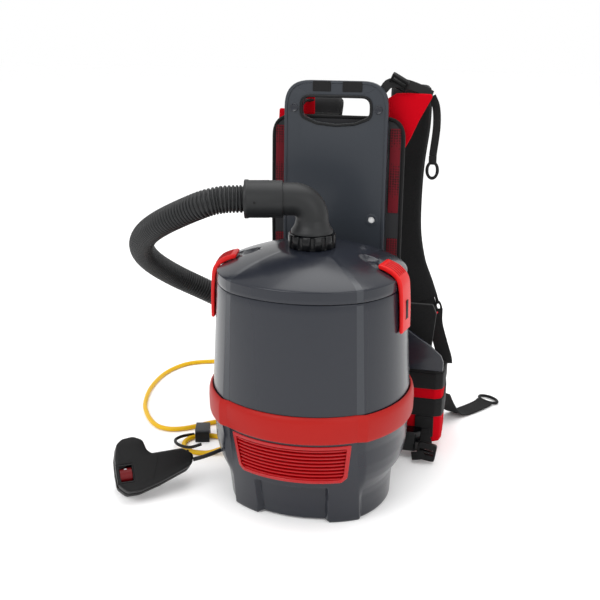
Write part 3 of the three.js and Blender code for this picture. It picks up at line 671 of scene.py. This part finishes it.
BASE_WALL = [
    (0, 121, 121), (20, 121.9, 123.4), (38, 122.8, 126), (51, 124, 130), (60, 129.5, 133.5),
    (68, 136.5, 136.5), (80, 141, 140), (96, 143.6, 143), (120, 144.5, 144), (BELT_LOW, 147.3, 147.3),
]
BASE_TABLE = [(z, apron(z, side, near)) for z, side, near in BASE_WALL]
WINDOW_LOW, WINDOW_HIGH = 71, 133
GRILLE_LOW, GRILLE_HIGH = 79, 86.5  # half-widths of the exhaust window at its bottom and top


def window_half(z):
    return lerp(GRILLE_LOW, GRILLE_HIGH, (z - WINDOW_LOW) / (WINDOW_HIGH - WINDOW_LOW))


def inside_trapezoid(x, z, grow):
    """How deep a front-view point lies inside the exhaust window, in millimetres; negative outside."""
    top, bottom = WINDOW_HIGH + grow, WINDOW_LOW - grow
    half = window_half(z) + grow
    corner = max(0, bottom + 8 - z) * 0.9
    return min(top - z, z - bottom, half - corner - abs(x))


def in_toe_recess(x, y, half):
    return abs(x) < half and y < 0


def build_base():
    angles = angles_with(*np.arange(22, 29, 0.35), *np.arange(33, 53, 0.5))
    # Closer together at the foot, at the top of the toe recess and round the exhaust window.
    close = (0.8, 2, 58.5, 61, 62, 64, 65.5, 70, 71, 73, 133, 134, 136.6)
    heights = sorted({*map(float, np.arange(0, BELT_LOW, 3)), *close})

    def adjust(x, y, z, a, r):
        inward = 0.0
        if abs(a) < 90:
            slope = 53.5 - abs(x) - 0.05 * (62 - z)
            deep = 8 * ease(slope, -1.6, 1.6) * (1 - ease(z, 58, 63.5))
            window = 5.0 * ease(inside_trapezoid(x, z, -3), -0.8, 0.8)
            inward = max(deep, window)
            lift = 3.8 * ease(53.5 - abs(x), -1.2, 1.2) * (1 - ease(z, 0, 20))
            z = z + lift
        if z < 4:
            inward += 1.6 * (1 - ease(z, -0.2, 2.6)) * (0 if in_toe_recess(x, y, 52) else 1)
        scale = (r - inward) / r
        return x * scale, y * scale, z

    def underside(x, y, z, a, r):
        scale = (r - 8) / r if in_toe_recess(x, y, 52) else 1
        return x * scale, y * scale, 3.8 if in_toe_recess(x, y, 53) else 0.4

    foot = ring(0, between(BASE_TABLE, 0), 6, angles, underside)
    walls = [ring(z, between(BASE_TABLE, z), 0, angles, adjust) for z in heights]
    neck = [ring(136.6, section(146.6, 135.8), 0, angles), ring(156, section(146.4, 135.6), 0, angles)]
    place(loft("base_shell", [foot, *walls, *neck]), SLATE, "base_housing", angle=32)


def front_surface(x, z):
    """The base's front surface: y at a front-view point."""
    offset = FACET_RADIUS - between(BASE_TABLE, z)["front"]
    return offset - sqrt(max(1, FACET_RADIUS**2 - x * x))


def outline_at(inset):
    """The exhaust window's outline moved inwards, with points added along its long sides."""
    top, bottom = WINDOW_HIGH - inset, WINDOW_LOW + inset

    def half(z):
        return window_half(z) - inset

    c = 7 - inset * 0.4
    right = [(half(bottom) - c, bottom), (half(bottom + c), bottom + c), (half(top), top)]
    pts = [(-x, z) for x, z in reversed(right)] + right
    pts = rounded(pts, [2.5, 5, 5, 5, 5, 2.5], 4)
    out = []
    for i, p in enumerate(pts):
        q = pts[(i + 1) % len(pts)]
        steps = 48 if math.dist(p, q) > 60 else (14 if math.dist(p, q) > 15 else 2)
        for k in range(steps):
            t = k / steps
            out.append((lerp(p[0], q[0], t), lerp(p[1], q[1], t)))
    return out


def build_grille():
    profile = [(0, -2.5), (0, 0.8), (0.5, 1.5), (1.2, 1.7), (4.6, 1.7), (5.2, 1.2), (5.5, 0.4), (5.7, -7)]
    rings = [[(x, front_surface(x, z) - out, z) for x, z in outline_at(inset)] for inset, out in profile]
    pieces = [painted(loft("grille_frame", rings, caps=False), GRILLE)]
    for i in range(9):
        z0 = 77 + 5.9 * i
        half = window_half(z0) - 5.5 - (3 if i == 0 else 0)
        cross = [(-0.9, -1.3), (-0.2, 0.0), (-0.8, 1.2), (-6.2, 2.8), (-6.2, 1.2)]
        line = np.linspace(-half, half, 50)
        rings = [[(x, front_surface(x, z0 + dz) - out, z0 + dz) for out, dz in cross] for x in line]
        pieces.append(painted(loft("louvre", rings), GRILLE))
    across = np.linspace(-80, 80, 40)
    back = [[(x, front_surface(x, z) + 6.2, z) for z in (72, 90, 110, 132)] for x in across]
    shadow = material("grille_shadow", (34, 1, 4), 0.7)
    pieces.append(painted(loft("grille_back", back, closed=False, caps=False), shadow))
    settle(join("exhaust_grille_louvred", *pieces), "exhaust_grille", "grille_plastic", angle=40)


def build_belt():
    outer = [
        (BELT_LOW, 0.0), (137.6, 0.9), (138.8, 1.5), (142, 2.2), (158, 2.6), (168, 2.2), (173, 1.0),
        (175.6, -0.4), (176.8, -1.6), (BELT_HIGH, -2.6),
    ]
    reach = 147.4
    outside, inside = section(150, 139, back=160), section(147, 136.2, back=160)
    rings = []
    for a in [-reach, *(a for a in FINE if abs(a) < reach), reach]:
        cross = [polar(a, soft_radius(a, outside) + out, z) for z, out in outer]
        rings.append(cross + [polar(a, soft_radius(a, inside), z) for z in (BELT_HIGH, BELT_LOW)])
    place(loft("belt_rounded", rings), BELT, "belt_band", angle=40)


DRUM_TABLE = [
    (157, section(146.4, 135.8)), (BELT_HIGH, section(145.5, 135.6)), (DRUM_TOP, section(136.3, 128.1)),
]


def crease_highlight_strip(rings, angles):
    """The narrow face along each crease, in lighter slate as a painted highlight, laid just over a wall given
    as rings.
    """
    pieces = []
    for side in (-1, 1):
        picks = sorted((i for i, a in enumerate(angles) if 40 <= side * a <= 44.5), key=lambda i: angles[i])
        grid = [[Vector(r[i]) * 1.0006 + Vector((0, 0, -0.0006 * r[i][2])) for i in picks] for r in rings]
        pieces.append(painted(loft("crease", grid, closed=False, caps=False), CREASE_HIGHLIGHT))
    return pieces


def build_drum():
    profile = [
        (157, 0), (176, 0), (200, 0), (240, 0), (280, 0), (320, 0), (331.4, 0), (333.3, 0.35), (334.1, 1.2),
        (DRUM_TOP, 5.5),
    ]
    rings = [ring(z, between(DRUM_TABLE, z), inset) for z, inset in profile]
    drum = painted(loft("drum_wall", rings), SLATE)
    # the crease strips carry the painted highlight
    pieces = [drum, *crease_highlight_strip(rings[1:7], FINE)]
    for _, side in SIDES:
        lug = [(135.4, 272), (144.3, 274.7), (144.9, 277.5), (144.3, 280.3), (141.9, 281.5), (135.4, 283)]
        pieces.append(slab(SLATE, "lug", [rounded(lug, 1)], -3.6, 3.6, 0.5, radial(side)))
    settle(join("drum_body", *pieces), "drum", "slate_plastic", angle=32)


def radial(side):
    """Maps (distance from the axis, height, sideways) to the frame at a latch."""
    t = radians(LATCH_ANGLE) * side
    out = Vector((sin(t), -cos(t), 0))
    along = Vector((cos(t), sin(t), 0))

    def to(x, y, z):
        return out * x + along * z + Vector((0, 0, y))

    return to


def dome(z):
    """The lid's section at a height: a short wall, then a dome down to the seat of the collar."""
    if z <= LID_SHOULDER:
        t = (z - LID_LOW) / (LID_SHOULDER - LID_LOW)
        return section(lerp(136.6, 136, t), lerp(128.4, 127.6, t))
    share = max(0, 1 - ((z - LID_SHOULDER) / (LID_TOP - LID_SHOULDER)) ** DOME_POWER) ** (1 / DOME_POWER)
    front = 48 + 79.6 * share
    return section(48 + 88 * share, front, facet=FACET_RADIUS * front / 127.6)


POCKET = [
    (102, 364.6), (108, 363), (115.5, 360.3), (125.5, 355.2), (131.8, 349.2), (134.6, 342), (135.6, 333),
]


def nearest_on(points, x, y):
    best = None
    for (x0, y0), (x1, y1) in zip(points, points[1:]):
        dx, dy = x1 - x0, y1 - y0
        t = max(0, min(1, ((x - x0) * dx + (y - y0) * dy) / (dx * dx + dy * dy)))
        p = (x0 + t * dx, y0 + t * dy)
        d = math.dist(p, (x, y))
        if best is None or d < best[0]:
            best = (d, p)
    return best[1]


def build_lid():
    angles = angles_with(*CREASE_ANGLES, *np.arange(68, 92, 0.35))
    heights = [
        LID_LOW, 336, 340, 344, 347, 349, 350, LID_SHOULDER, 351.6, 352.4, 353.4, 354.5, 355.7, 357, 358.4,
        359.8, 361.2, 362.6, 364, 365.4, 366.8, 368.2, 369.6, 371, 372.4, 373.6, 374.8, 375.9, 376.9, 377.8,
        378.6, 379.3, 379.9, 380.3, 380.6,
    ]

    def adjust(x, y, z, a, r):
        for side in (-1, 1):
            t = radians(LATCH_ANGLE) * side
            u = x * sin(t) - y * cos(t)
            v = x * cos(t) + y * sin(t)
            if u < 60 or abs(v) > 24:
                continue
            mask = ease(18.6 - abs(v), -0.7, 0.7) * ease(u, 100.6, 102.6)
            if mask > 0:
                pu, pz = nearest_on(POCKET, u, z)
                u, z = lerp(u, pu, mask), lerp(z, pz, mask)
            inside = 1 - ((u - 93) / 17) ** 2 - (v / 16) ** 2
            if inside > 0:
                z = min(z, 374.5 - 9 * sqrt(inside))
            x = u * sin(t) + v * cos(t)
            y = -u * cos(t) + v * sin(t)
        return x, y, z

    rings = [ring(LID_LOW, dome(LID_LOW), 6, angles)]
    rings += [ring(z, dome(z), 0.7 if z == LID_LOW else 0, angles, adjust) for z in heights]
    for radius, z in ((49.5, 380.85), (47.5, LID_TOP), (36, LID_TOP), (20, LID_TOP)):
        rings.append([polar(a, radius, z) for a in angles])
    lid = painted(loft("lid_dome", rings), SLATE)
    # the crease strips carry the painted highlight
    settle(join("lid_moulded", lid, *crease_highlight_strip(rings[2:26], angles)), "lid", "slate_plastic", angle=40)


# ---------- latches


def curve2(points, step):
    return [(p.x, p.y) for p in smooth_line([Vector((a, b, 0)) for a, b in points], step)]


def build_latches():
    head = [
        (145.3, 281), (145, 305), (143.4, 334), (141.8, 346.5), (137.2, 356), (128, 364.2), (116.8, 369),
        (109.6, 370.8),
    ]
    under = [
        (108, 364.4), (115.6, 362.2), (126.5, 356.9), (133, 350.7), (136.2, 342.6), (137.7, 334),
        (139.4, 312), (140.3, 285),
    ]
    for name, side in SIDES:
        to = radial(side)
        bottom = half_circle(PIVOT_OUT, PIVOT_UP, 2.6, pi, 8)
        tip = [(107.2, 369.8), (106.6, 367.6)]
        body = plate("latch_body", [bottom + curve2(head, 3) + tip + curve2(under, 3)], -16.9, 16.9, 1.6, to)
        pieces = [painted(body, LATCH)]
        over = [(u, z) for u, z in curve2(head, 1.5) if 113 < u < 137 and z > 340]
        # grip lines: raised ribs in a darker red, as painted shade
        for v in (-12, -6, 0, 6, 12):
            line = [to(u, z - 0.1, v) for u, z in over]
            rib = pipe("grip_line", line, lambda share: 0.9 if 0.05 < share < 0.95 else 0.4, 8)
            pieces.append(painted(rib, GRIP_LINE_SHADE))
        # painted shade: a dark strip on the latch's outer face for the shade in its groove
        groove = [(-6, 293), (6, 293), (6, 294), (4.6, 294.6), (4, 320), (-4, 320), (-4.6, 294.6), (-6, 294)]
        pieces.append(slab(
            RECESS_SHADE, "groove", [rounded(groove, 0.4)], 144.4, 145.4, 0.15, lambda x, y, z: to(z, y, x),
        ))
        latch = join("latch_" + name + "_moulded", *pieces)
        settle(latch, "latch_" + name, "latch_plastic", body="latch_" + name)
        middle = to(PIVOT_OUT, PIVOT_UP, 0)
        pin = turned("pin_" + name, rect(0, 1.25, -15, 15), 16, axis=to(0, 0, 1), origin=middle)
        place(pin, STEEL, "latch_pin_" + name)


# ---------- elbow, lock ring, cuff


def build_elbow():
    collar_rings = []
    teeth = 12
    count = teeth * 16
    steps = ((9, 381.5), (1.2, 381.5), (0.4, 382), (0, 383), (0, 399), (0.6, 400.4), (1.6, 401), (10, 401))
    for inset, z in steps:
        cross = []
        for k, t in enumerate(around(count)):
            wave = abs(((k / 16) % 1) - 0.5) * 2
            depth = 2.6 * (1 - ease(wave, 0.3, 0.44)) if 383 <= z <= 400 else 0.4
            r = 34 - inset - depth
            cross.append((r * cos(t), r * sin(t), z))
        collar_rings.append(cross)
    collar = loft("lock_ring_knurled", collar_rings)
    place(collar, GLOSS, "lock_ring", body="lock_ring", angle=40)
    bend = 27
    top = Vector((0, 0, HOSE_HEIGHT))
    line = [Vector((0, 0, z)) for z in (396, 405, 412, 418, HOSE_HEIGHT - bend)]
    for k in range(1, 19):
        t = k / 18 * pi / 2
        line.append(HOSE_AIM * (bend - bend * cos(t)) + Vector((0, 0, HOSE_HEIGHT - bend + bend * sin(t))))
    line.append(HOSE_AIM * 60 + top)
    tube = painted(pipe("elbow_tube", line, 23.2, 48), HOSE)
    flare = [
        (20, 401.4), (29.4, 401.4), (30, 402), (30, 405), (28.6, 407), (26, 410.5), (24.2, 415),
        (23.2, 421),
    ]
    bell = painted(turned("elbow_bell", flare, 64), HOSE)
    settle(join("elbow_moulded", tube, bell), "hose_elbow", "hose_plastic", body="elbow")
    profile = [
        (22.8, 41), (25.4, 41), (26.2, 42), (26.2, 60), (26.5, 61), (26.5, 88), (27.2, 89.5), (27.4, 91),
        (27.4, 94), (26.8, 95), (20.5, 95), (19.5, 88),
    ]
    cuff = painted(turned("cuff_body", profile, 64, axis=HOSE_AIM, origin=top), HOSE)
    side = Vector((0, 0, 1)).cross(HOSE_AIM).normalized()
    spot = HOSE_AIM * 80 + top + side * 26.2
    # painted shade: a dark dot on the cuff for the shade in a small hole
    dot = painted(turned("cuff_dot", rect(0, 1.9, 0, 0.7), 16, axis=side, origin=spot), RECESS_SHADE)
    settle(join("cuff_moulded", cuff, dot), "hose_cuff", "hose_plastic", body="elbow")


# ---------- handset

HANDSET_ORIGIN = Vector((-243, -136.3, 24.7))
UP = Vector((-0.382, 0.57, 0.728)).normalized()
ALONG = Vector((0.81, 0.585, -0.033))
ALONG = (ALONG - UP * ALONG.dot(UP)).normalized()
OUT = ALONG.cross(UP)


def handset(x, y, z):
    return HANDSET_ORIGIN + ALONG * x + UP * y + OUT * z


def build_handset():
    outline = [
        (-13, 34), (-12, 12), (0, 0), (20, 0), (53, 9.5), (97, 26), (103, 31), (107, 44), (91, 56),
        (43, 54.5), (37, 61), (33, 77), (19, 84), (2, 82), (-7, 75), (-12, 55),
    ]
    shape = rounded(outline, [14, 12, 12, 22, 30, 8, 6, 8, 14, 7, 8, 10, 12, 10, 10, 14], 5)
    window = rect(-9.4, 10.4, 15.6, 39.4)
    rim = rounded(rect(-11.4, 12.4, 13.8, 41.2), 2)
    pieces = [
        slab(BLACK, "front", [shape, window], -16.8, 0, 4.0, handset),
        slab(GLOSS, "bezel", [rim, window], -6, 0.5, 0.5, handset),
        # painted shade: the pocket floor round the rocker is near-black
        slab(RECESS_SHADE, "pocket_floor", [window], -15, -14, 0.3, handset),
    ]
    # painted shade: dark discs for the screw holes and a dark slot
    for x, y, r in ((24, 74, 3.2), (25, 13, 3.0), (98, 49, 2.2), (96, 30, 2.2), (5, 60, 1.8)):
        pieces.append(slab(RECESS_SHADE, "screw_recess", [circle(x, y, r)], -1, 0.25, 0.1, handset))
    pieces.append(slab(RECESS_SHADE, "slot", [rounded(rect(-8, -3, 50, 66), 2)], -1, 0.3, 0.1, handset))
    for points in ([(38, 12), (46, 30), (52, 50)], [(88, 30), (84, 42), (86, 52)]):
        line = [handset(x, y, 0.1) for x, y in curve2(points, 3)]
        pieces.append(painted(pipe("moulded_line", line, 0.45, 8), BLACK))
    settle(join("handset_front", *pieces), "handset_front_shell", "black_plastic", angle=40)
    rear = plate("handset_rear", [shape], -34.2, -17.3, 4.0, handset)
    place(rear, BLACK, "handset_rear_shell", angle=40)
    cap = [*half_circle(27.5, -9.2, 10.9, 0, 12), (16.6, -12.2), (38.4, -12.2)]
    rings = [[handset(0.5 + x, y, z) for y, z in cap] for x in (-8.9, -8.2, 8.2, 8.9)]
    rocker = painted(loft("rocker_cap", rings), ROCKER)
    mark = slab(GREY, "rocker_mark", [circle(0.5, 33.5, 2.2)], -0.9, -0.2, 0.1, handset)
    settle(join("rocker_lit", rocker, mark), "rocker_switch", "grille_plastic", body="rocker", angle=30)


# ---------- back plate, wings, lower frame


BEND_BACK, BEND_UP, LEAN = 130, 390, 3  # where the back plate begins to lean, and by how many degrees


def leaning(x, z, y):
    """Front-view (x, z) and depth y, leaning back 3 degrees above the bend, as the back plate does."""
    if z <= BEND_UP:
        return Vector((x, y, z))
    t = radians(LEAN)
    dy, dz = y - BEND_BACK, z - BEND_UP
    return Vector((x, BEND_BACK + dy * cos(t) + dz * sin(t), BEND_UP - dy * sin(t) + dz * cos(t)))


def rounded_box(half, low, high, corner):
    return rounded(rect(-half, half, low, high), corner, 10)


def slot_outline(grow):
    """The hand slot's outline, widened."""
    half, top, low = 52 + grow, 575 + grow, 549 - grow
    points = [
        (-half, top), (-half, low), (-30, low - 10), (0, low - 12.7), (30, low - 10), (half, low),
        (half, top),
    ]
    return rounded(points, [13 + grow, 10 + grow, 30, 60, 30, 10 + grow, 13 + grow], 6)


def build_plate():
    cuts = [380, 385, 390, 395, 400, 450, 500]
    outer = rounded_box(80, 60, 600.3, 40)
    hole = circle(60, 393, 5)
    body = plate("plate_body", [outer, slot_outline(0), hole], 131.5, 140, 1.2, leaning, cuts)
    inner = rounded_box(75.5, 64, 595.8, 36)
    rim = plate("plate_rim", [outer, inner], 130, 134, 0.9, leaning, cuts)
    slot_rim = plate("slot_rim", [slot_outline(4.2), slot_outline(0)], 129.4, 134, 1.0, leaning)
    boss = plate("hole_boss", [circle(60, 393, 9.5), hole], 130.6, 133, 0.5, leaning)
    plug = plate("hole_light", [hole], 133, 134, 0.2, leaning)
    pieces = [painted(o, PLATE) for o in (body, rim, boss)]
    pieces += [painted(slot_rim, GLOSS), painted(plug, HOLE_WHITE)]
    recess = [(-58, 596), (-58, 588), (-40, 580), (40, 580), (58, 588), (58, 596)]
    pieces.append(slab(PLATE, "bar_recess", [rounded(recess, 3)], 131, 132.4, 0.4, leaning))
    for x0, x1 in ((-36, -8), (10, 40)):
        strip = rect(x0, x1, 584, 599.4)
        pieces.append(slab(WEB, "bar_loop", [rounded(strip, 1)], 129.6, 141.4, 0.7, leaning))
    settle(join("back_plate_moulded", *pieces), "back_plate", "slate_plastic")
    for name, side in SIDES:
        screw = [(0, -2.2), (4.0, -2.2), (4.2, -1.2), (3.6, 0.4), (2.0, 0.8), (1.9, -0.4), (0, -0.4)]
        collar = [(4.2, -1.5), (6.2, -1.5), (6.2, 1.0), (5.6, 1.5), (4.2, 0.9)]
        seat = leaning(side * 65, 559, 130.4)
        seat_ring = painted(turned("seat", collar, 32, axis=(0, -1, 0.05), origin=seat), SLATE)
        head = painted(turned("head", screw, 24, axis=(0, -1, 0.05), origin=seat), STEEL)
        settle(join("plate_screw_head_" + name, seat_ring, head), "plate_screw_" + name, "steel")
        wing = [
            (62, 262), (84, 249), (105, 231), (128, 212), (158, 192), (176, 176), (180, 166), (180, 150),
            (62, 150),
        ]
        shape = rounded(mirrored(side, wing), [2, 30, 30, 30, 30, 8, 3, 2, 2], 5)
        place(plate("wing", [shape], 140.4, 147, 1.4, facing_front), SLATE, "hip_wing_" + name)
    foot = [(-150, 132), (-142, 124), (142, 124), (150, 132), (150, 150), (-150, 150)]
    place(plate("lower_frame_bar", [rounded(foot, 4)], 12, 46, 2.0), GLOSS, "lower_frame")


# ---------- soft harness


def facing_front(x, y, z):
    """Maps an outline drawn in front view, with its depth, to the frame."""
    return Vector((x, z, y))


def build_back_pads():
    cuts = [380, 390, 400, 450, 500]
    pad = slab(BLACK_MESH, "back_pad_core", [rounded_box(103, 179, 547, 33)], 148, 168, 7, leaning, cuts)
    outer, inner = rounded_box(104.3, 178, 548.3, 34), rounded_box(99.5, 183, 543.5, 30)
    edge = slab(BINDING, "pad_binding", [outer, inner], 146.6, 156, 2.2, leaning, cuts)
    pieces = [pad, edge]
    for side in (-1, 1):
        for z0, z1 in ((403, 531), (330, 362)):
            x0, x1 = sorted((side * 82, side * 98))
            panel = rounded(rect(x0, x1, z0, z1), 2)
            pieces.append(slab(RED_MESH, "mesh_panel", [panel], 147, 149, 0.6, leaning, [450]))
    back_pad = settle(join("back_pad_sewn", *pieces), "back_pad", "black_fabric", angle=50)
    lumbar = plate("lumbar_pad_sewn", [rounded_box(117.5, 50.5, 171.5, 14)], 147.4, 174, 7, facing_front)
    place(lumbar, BLACK_CLOTH, "lumbar_pad", angle=50)


SHOULDER_ROUTES = {
    "left": [
        (34, 187, 545), (34, 200, 563), (37, 226, 557), (47, 248, 515), (55, 258, 455), (60, 256, 395),
        (66, 250, 345), (82, 240, 300), (106, 228, 265), (131, 219, 240),
    ],
    "right": [
        (106, 187, 562), (104, 200, 585), (103, 228, 574), (100, 250, 525), (92, 258, 460), (90, 256, 395),
        (93, 250, 345), (104, 240, 300), (120, 228, 265), (131, 219, 240),
    ],
}


def build_shoulders():
    for name, side in SIDES:
        route = mirrored(side, SHOULDER_ROUTES[name])
        core = ribbon("shoulder_core", route, (1, 0, 0), 57, 12.5, step=5, bulge=0.05)
        pieces = [painted(core, BLACK_CLOTH)]
        for off in (-27.5, 27.5):
            line = smooth_line([(x + off, y, z) for x, y, z in route], 5)
            pieces.append(painted(pipe("shoulder_binding", line, 2.6, 10), BINDING))
        if side > 0:
            yoke = [
                (72, 523), (80, 508), (98, 492), (109, 513), (121, 540), (140, 576), (138, 580), (104, 581),
                (86, 580), (72, 572),
            ]
            low_end = [(127, 221, 248), (136, 217, 230), (143, 212, 208)]
            end = ribbon("shoulder_end", low_end, (1, 0, 0), 44, 10, step=4, bulge=0.05)
            bulge = [(146 + 10 * cos(t), 190 + 20 * sin(t)) for t in around(8)]
            tab = [(116, 150), (154, 150), (162, 236), (156, 250), (116, 250)]
            pieces += [
                flat_cloth(RED_CLOTH, "yoke", yoke, 176, 182),
                painted(end, BLACK_CLOTH),
                flat_cloth(STITCH, "end_patch", [(140, 221), (161, 226), (161, 229), (140, 224)], 203, 208),
                flat_cloth(RED_CLOTH, "hip_link", bulge, 176, 190),
                flat_cloth(BLACK_CLOTH, "hip_tab", tab, 172, 180),
            ]
        else:
            edge = [(-101, 521), (-90, 521), (-90, 553), (-99, 553)]
            pieces.append(flat_cloth(RED_CLOTH, "slot_patch", rect(-64, -42, 545, 575), 176, 180))
            pieces.append(flat_cloth(RED_CLOTH, "edge_patch", edge, 176, 180))
        pad_obj = settle(join("shoulder_" + name, *pieces), "shoulder_pad_" + name, "black_fabric", angle=50)


def flat_cloth(mat, name, outline, low, high):
    """A padded cloth panel facing forwards, from its front-view outline."""
    return slab(mat, name, [rounded(outline, 3, 3)], low, high, 1.6, facing_front)


def buckle(name, centre, width, height, thick, facing, hole):
    """A ladder-lock frame: a rounded rectangle with a hole and a bar across."""
    w, h = width / 2, height / 2
    outer = rounded(rect(-w, w, -h, h), min(w, h) * 0.35, 4)
    inner = rounded(rect(-w * 0.74, w * 0.74, -h * hole, h * hole), 1, 2)
    base = Vector(centre)
    x_axis, y_axis = (Vector(way).normalized() for way in facing)
    out = x_axis.cross(y_axis)

    def to(x, y, z):
        return base + x_axis * x + y_axis * y + out * z

    pieces = [slab(BLACK, name, [outer, inner], -thick / 2, thick / 2, min(1.0, thick / 4), to)]
    bar = rounded(rect(-w * 0.8, w * 0.8, -1.4, 1.4), 0.8, 2)
    pieces.append(slab(BLACK, "bar", [bar], -thick / 2, thick / 2, 0.6, to))
    return pieces


def oval_ring(name, node, centre, rx, ry, thick, x_axis=(1, 0, 0), y_axis=(0, 0, 1)):
    """Places a closed ring of round wire, upright unless its two directions are given."""
    base = Vector(centre)
    u, v = Vector(x_axis).normalized(), Vector(y_axis).normalized()
    normal = u.cross(v)
    rings = []
    for t in around(40):
        p = base + u * (rx * cos(t)) + v * (ry * sin(t))
        rings.append(hoop(p, (p - base).normalized(), normal, thick, 12))
    place(loft(name, rings, loop=True), BLACK, node)


def build_straps():
    lifters = {
        "left": [(62, 157, 562), (58, 162, 567), (52, 168, 568), (46, 174, 566)],
        "right": [
            (62, 158, 575), (69, 160, 587), (78, 164, 596), (98, 171, 595), (118, 181, 588),
            (138, 190, 577),
        ],
    }
    sternums = {
        "left": [(80, 206, 560), (82, 205, 540), (82, 205, 508), (81, 205, 466)],
        "right": [(136, 204, 575), (143, 205, 558), (145, 205, 528), (141, 205, 484)],
    }
    for name, side in SIDES:
        across = (0, 0.45, 0.9) if side > 0 else (1, 0, 0)
        pieces = [painted(ribbon("lifter", mirrored(side, lifters[name]), across, 15, 2.6), WEB)]
        if side > 0:
            tilted = ((0.84, 0.15, -0.5), (0.4, -0.4, 0.8))
            pieces += buckle("lifter_lock", (91, 166, 597), 29, 20, 7, tilted, hole=0.5)
        settle(join("load_lifter_web_" + name, *pieces), "load_lifter_" + name, "webbing")
        lower = mirrored(side, [
            (156, 213, 232), (158, 206, 208), (169, 194, 178), (177, 187, 158), (179, 184, 148),
        ])
        web = painted(ribbon("lower", lower, (side, 0, 0.6), 24, 2.6), WEB)
        settle(web, "lower_strap_" + name, "webbing")
        sternum = painted(ribbon("sternum", mirrored(side, sternums[name]), (1, 0, 0), 12, 2.8), WEB)
        x, low = (141, 470) if side > 0 else (81, 464)
        reach = sorted((side * (x - 6), side * (x + 6)))
        fitting = painted(box("sternum_fitting", reach, (202, 208), (low, low + 14), 1.2), BLACK)
        settle(join("sternum_web_" + name, sternum, fitting), "sternum_strap_" + name, "webbing")
        spot = (141, 205, 461) if side > 0 else (-83, 205, 454)
        oval_ring("sternum_loop_" + name, "sternum_ring_" + name, spot, 8.2, 12.5, 2.6)
        oval_ring("adjuster_loop_" + name, "strap_adjuster_" + name, (side * 160, 213, 229), 5, 14, 2.6)
        waist = mirrored(side, [
            (168, 262, 62), (174, 283, 36), (184, 300, 12), (196, 314, 3.5), (214, 336, 3), (232, 362, 3.5),
            (238, 374, 5),
        ])
        web = painted(ribbon("waist", waist, (side, -0.4, 0), 33, 2.4), WEB)
        settle(web, "waist_strap_" + name, "webbing")
        lying = ((0.8, side * -0.6, 0), (side * 0.6, 0.8, 0))
        oval_ring("waist_loop_" + name, "waist_ring_" + name, (side * 243, 385, 4), 20, 11, 2.8, *lying)
        rise = 4 if side > 0 else 14
        facing = ((1, 0, side * -0.15), (side * 0.15, 0, 1))
        lock = buckle("hip_lock", (side * 163, 114, 16.5 + rise), 31, 30, 7, facing, hole=0.3)
        upper = mirrored(
            side, [(152, 147, 44), (154, 143, 33), (158, 132, 27 + rise / 2), (162, 117, 20 + rise)],
        )
        tail = mirrored(side, [(160, 110, 13 + rise), (151, 109, 12 + rise / 2), (140, 111, 11)])
        lock.append(painted(ribbon("hip_strap", upper, (1, 0, 0), 22, 2.4), WEB))
        lock.append(painted(ribbon("hip_strap_tail", tail, (0, 0.2, 1), 14, 2.4), WEB))
        settle(join("hip_lock_" + name, *lock), "hip_buckle_" + name, "black_plastic")


def build_hip_pads():
    for name, side in SIDES:

        def plan(x, y, z):
            return Vector((side * x, y, z))

        outline = [
            (122, 151), (168, 151), (178, 157), (180, 170), (177, 225), (173, 257), (157, 257),
            (160.5, 225), (160.5, 190), (150, 175.5), (122, 175.5),
        ]
        corners = [2, 8, 6, 12, 30, 6, 6, 30, 12, 8, 2]
        shape = rounded(outline, corners, 4)
        band = [
            (121.5, 149), (169, 149), (180, 155.5), (182, 170), (179, 225), (174.5, 258.5), (156, 258.5),
            (159, 225), (159, 191), (149.5, 177), (121.5, 177),
        ]
        wider = rounded(band, corners, 4)
        pieces = [slab(RED_CLOTH, "hip_core", [shape], 19, 151, 5.0, plan)]
        for low, high, mat in ((142, 153, BINDING), (114, 142, BLACK_CLOTH), (66, 97, BLACK_CLOTH)):
            pieces.append(slab(mat, "hip_band", [wider], low, high, 1.6, plan))
        strip = rounded(rect(138, 168, 30, 66), 2)
        pieces.append(slab(WEB, "hip_web", [strip], 147.6, 151, 0.8, lambda x, y, z: (side * x, z, y)))
        pad = settle(join("hip_pad_sewn_" + name, *pieces), "hip_pad_" + name, "red_fabric", angle=50)


# ---------- light and floor


def build_stage():
    world = bpy.data.worlds.new("world")
    bpy.context.scene.world = world
    world.use_nodes = True
    set_inputs(world.node_tree.nodes["Background"], {"Color": (1, 1, 1, 1), "Strength": 1.0})
    view = bpy.context.scene.view_settings
    view.view_transform = "Standard"
    view.look = "None"
    corners = [(-9000, -9000, 0), (9000, -9000, 0), (9000, 9000, 0), (-9000, 9000, 0)]
    floor = raw("floor", corners, [(0, 1, 2, 3)])
    floor.data.materials.append(material("floor_white", (255, 255, 255), 0.9))
    floor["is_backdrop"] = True
    lights = [
        ("key", (-1.0, -1.6, 1.9), 1.4, 22),
        ("fill", (1.6, -1.4, 1.2), 1.6, 12),
        ("top", (0.1, 0.3, 2.2), 1.6, 20),
    ]
    for name, spot, size, power in lights:
        data = bpy.data.lights.new(name, "AREA")
        data.size = size
        data.energy = power
        lamp = linked(name, data)
        lamp.location = spot
        lamp.rotation_euler = (Vector((0, 0, 0.3)) - Vector(spot)).to_track_quat("-Z", "Y").to_euler()


build_hose()
build_cords()
build_base()
build_grille()
build_belt()
build_drum()
build_lid()
build_latches()
build_elbow()
build_handset()
build_plate()
build_back_pads()
build_shoulders()
build_straps()
build_hip_pads()
build_stage()


def plain(bounds):
    return json.loads(json.dumps(bounds, default=lambda v: [float(c) for c in v]))


{"at_load": plain(bounds_at_load), "before_finish": plain(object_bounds())}
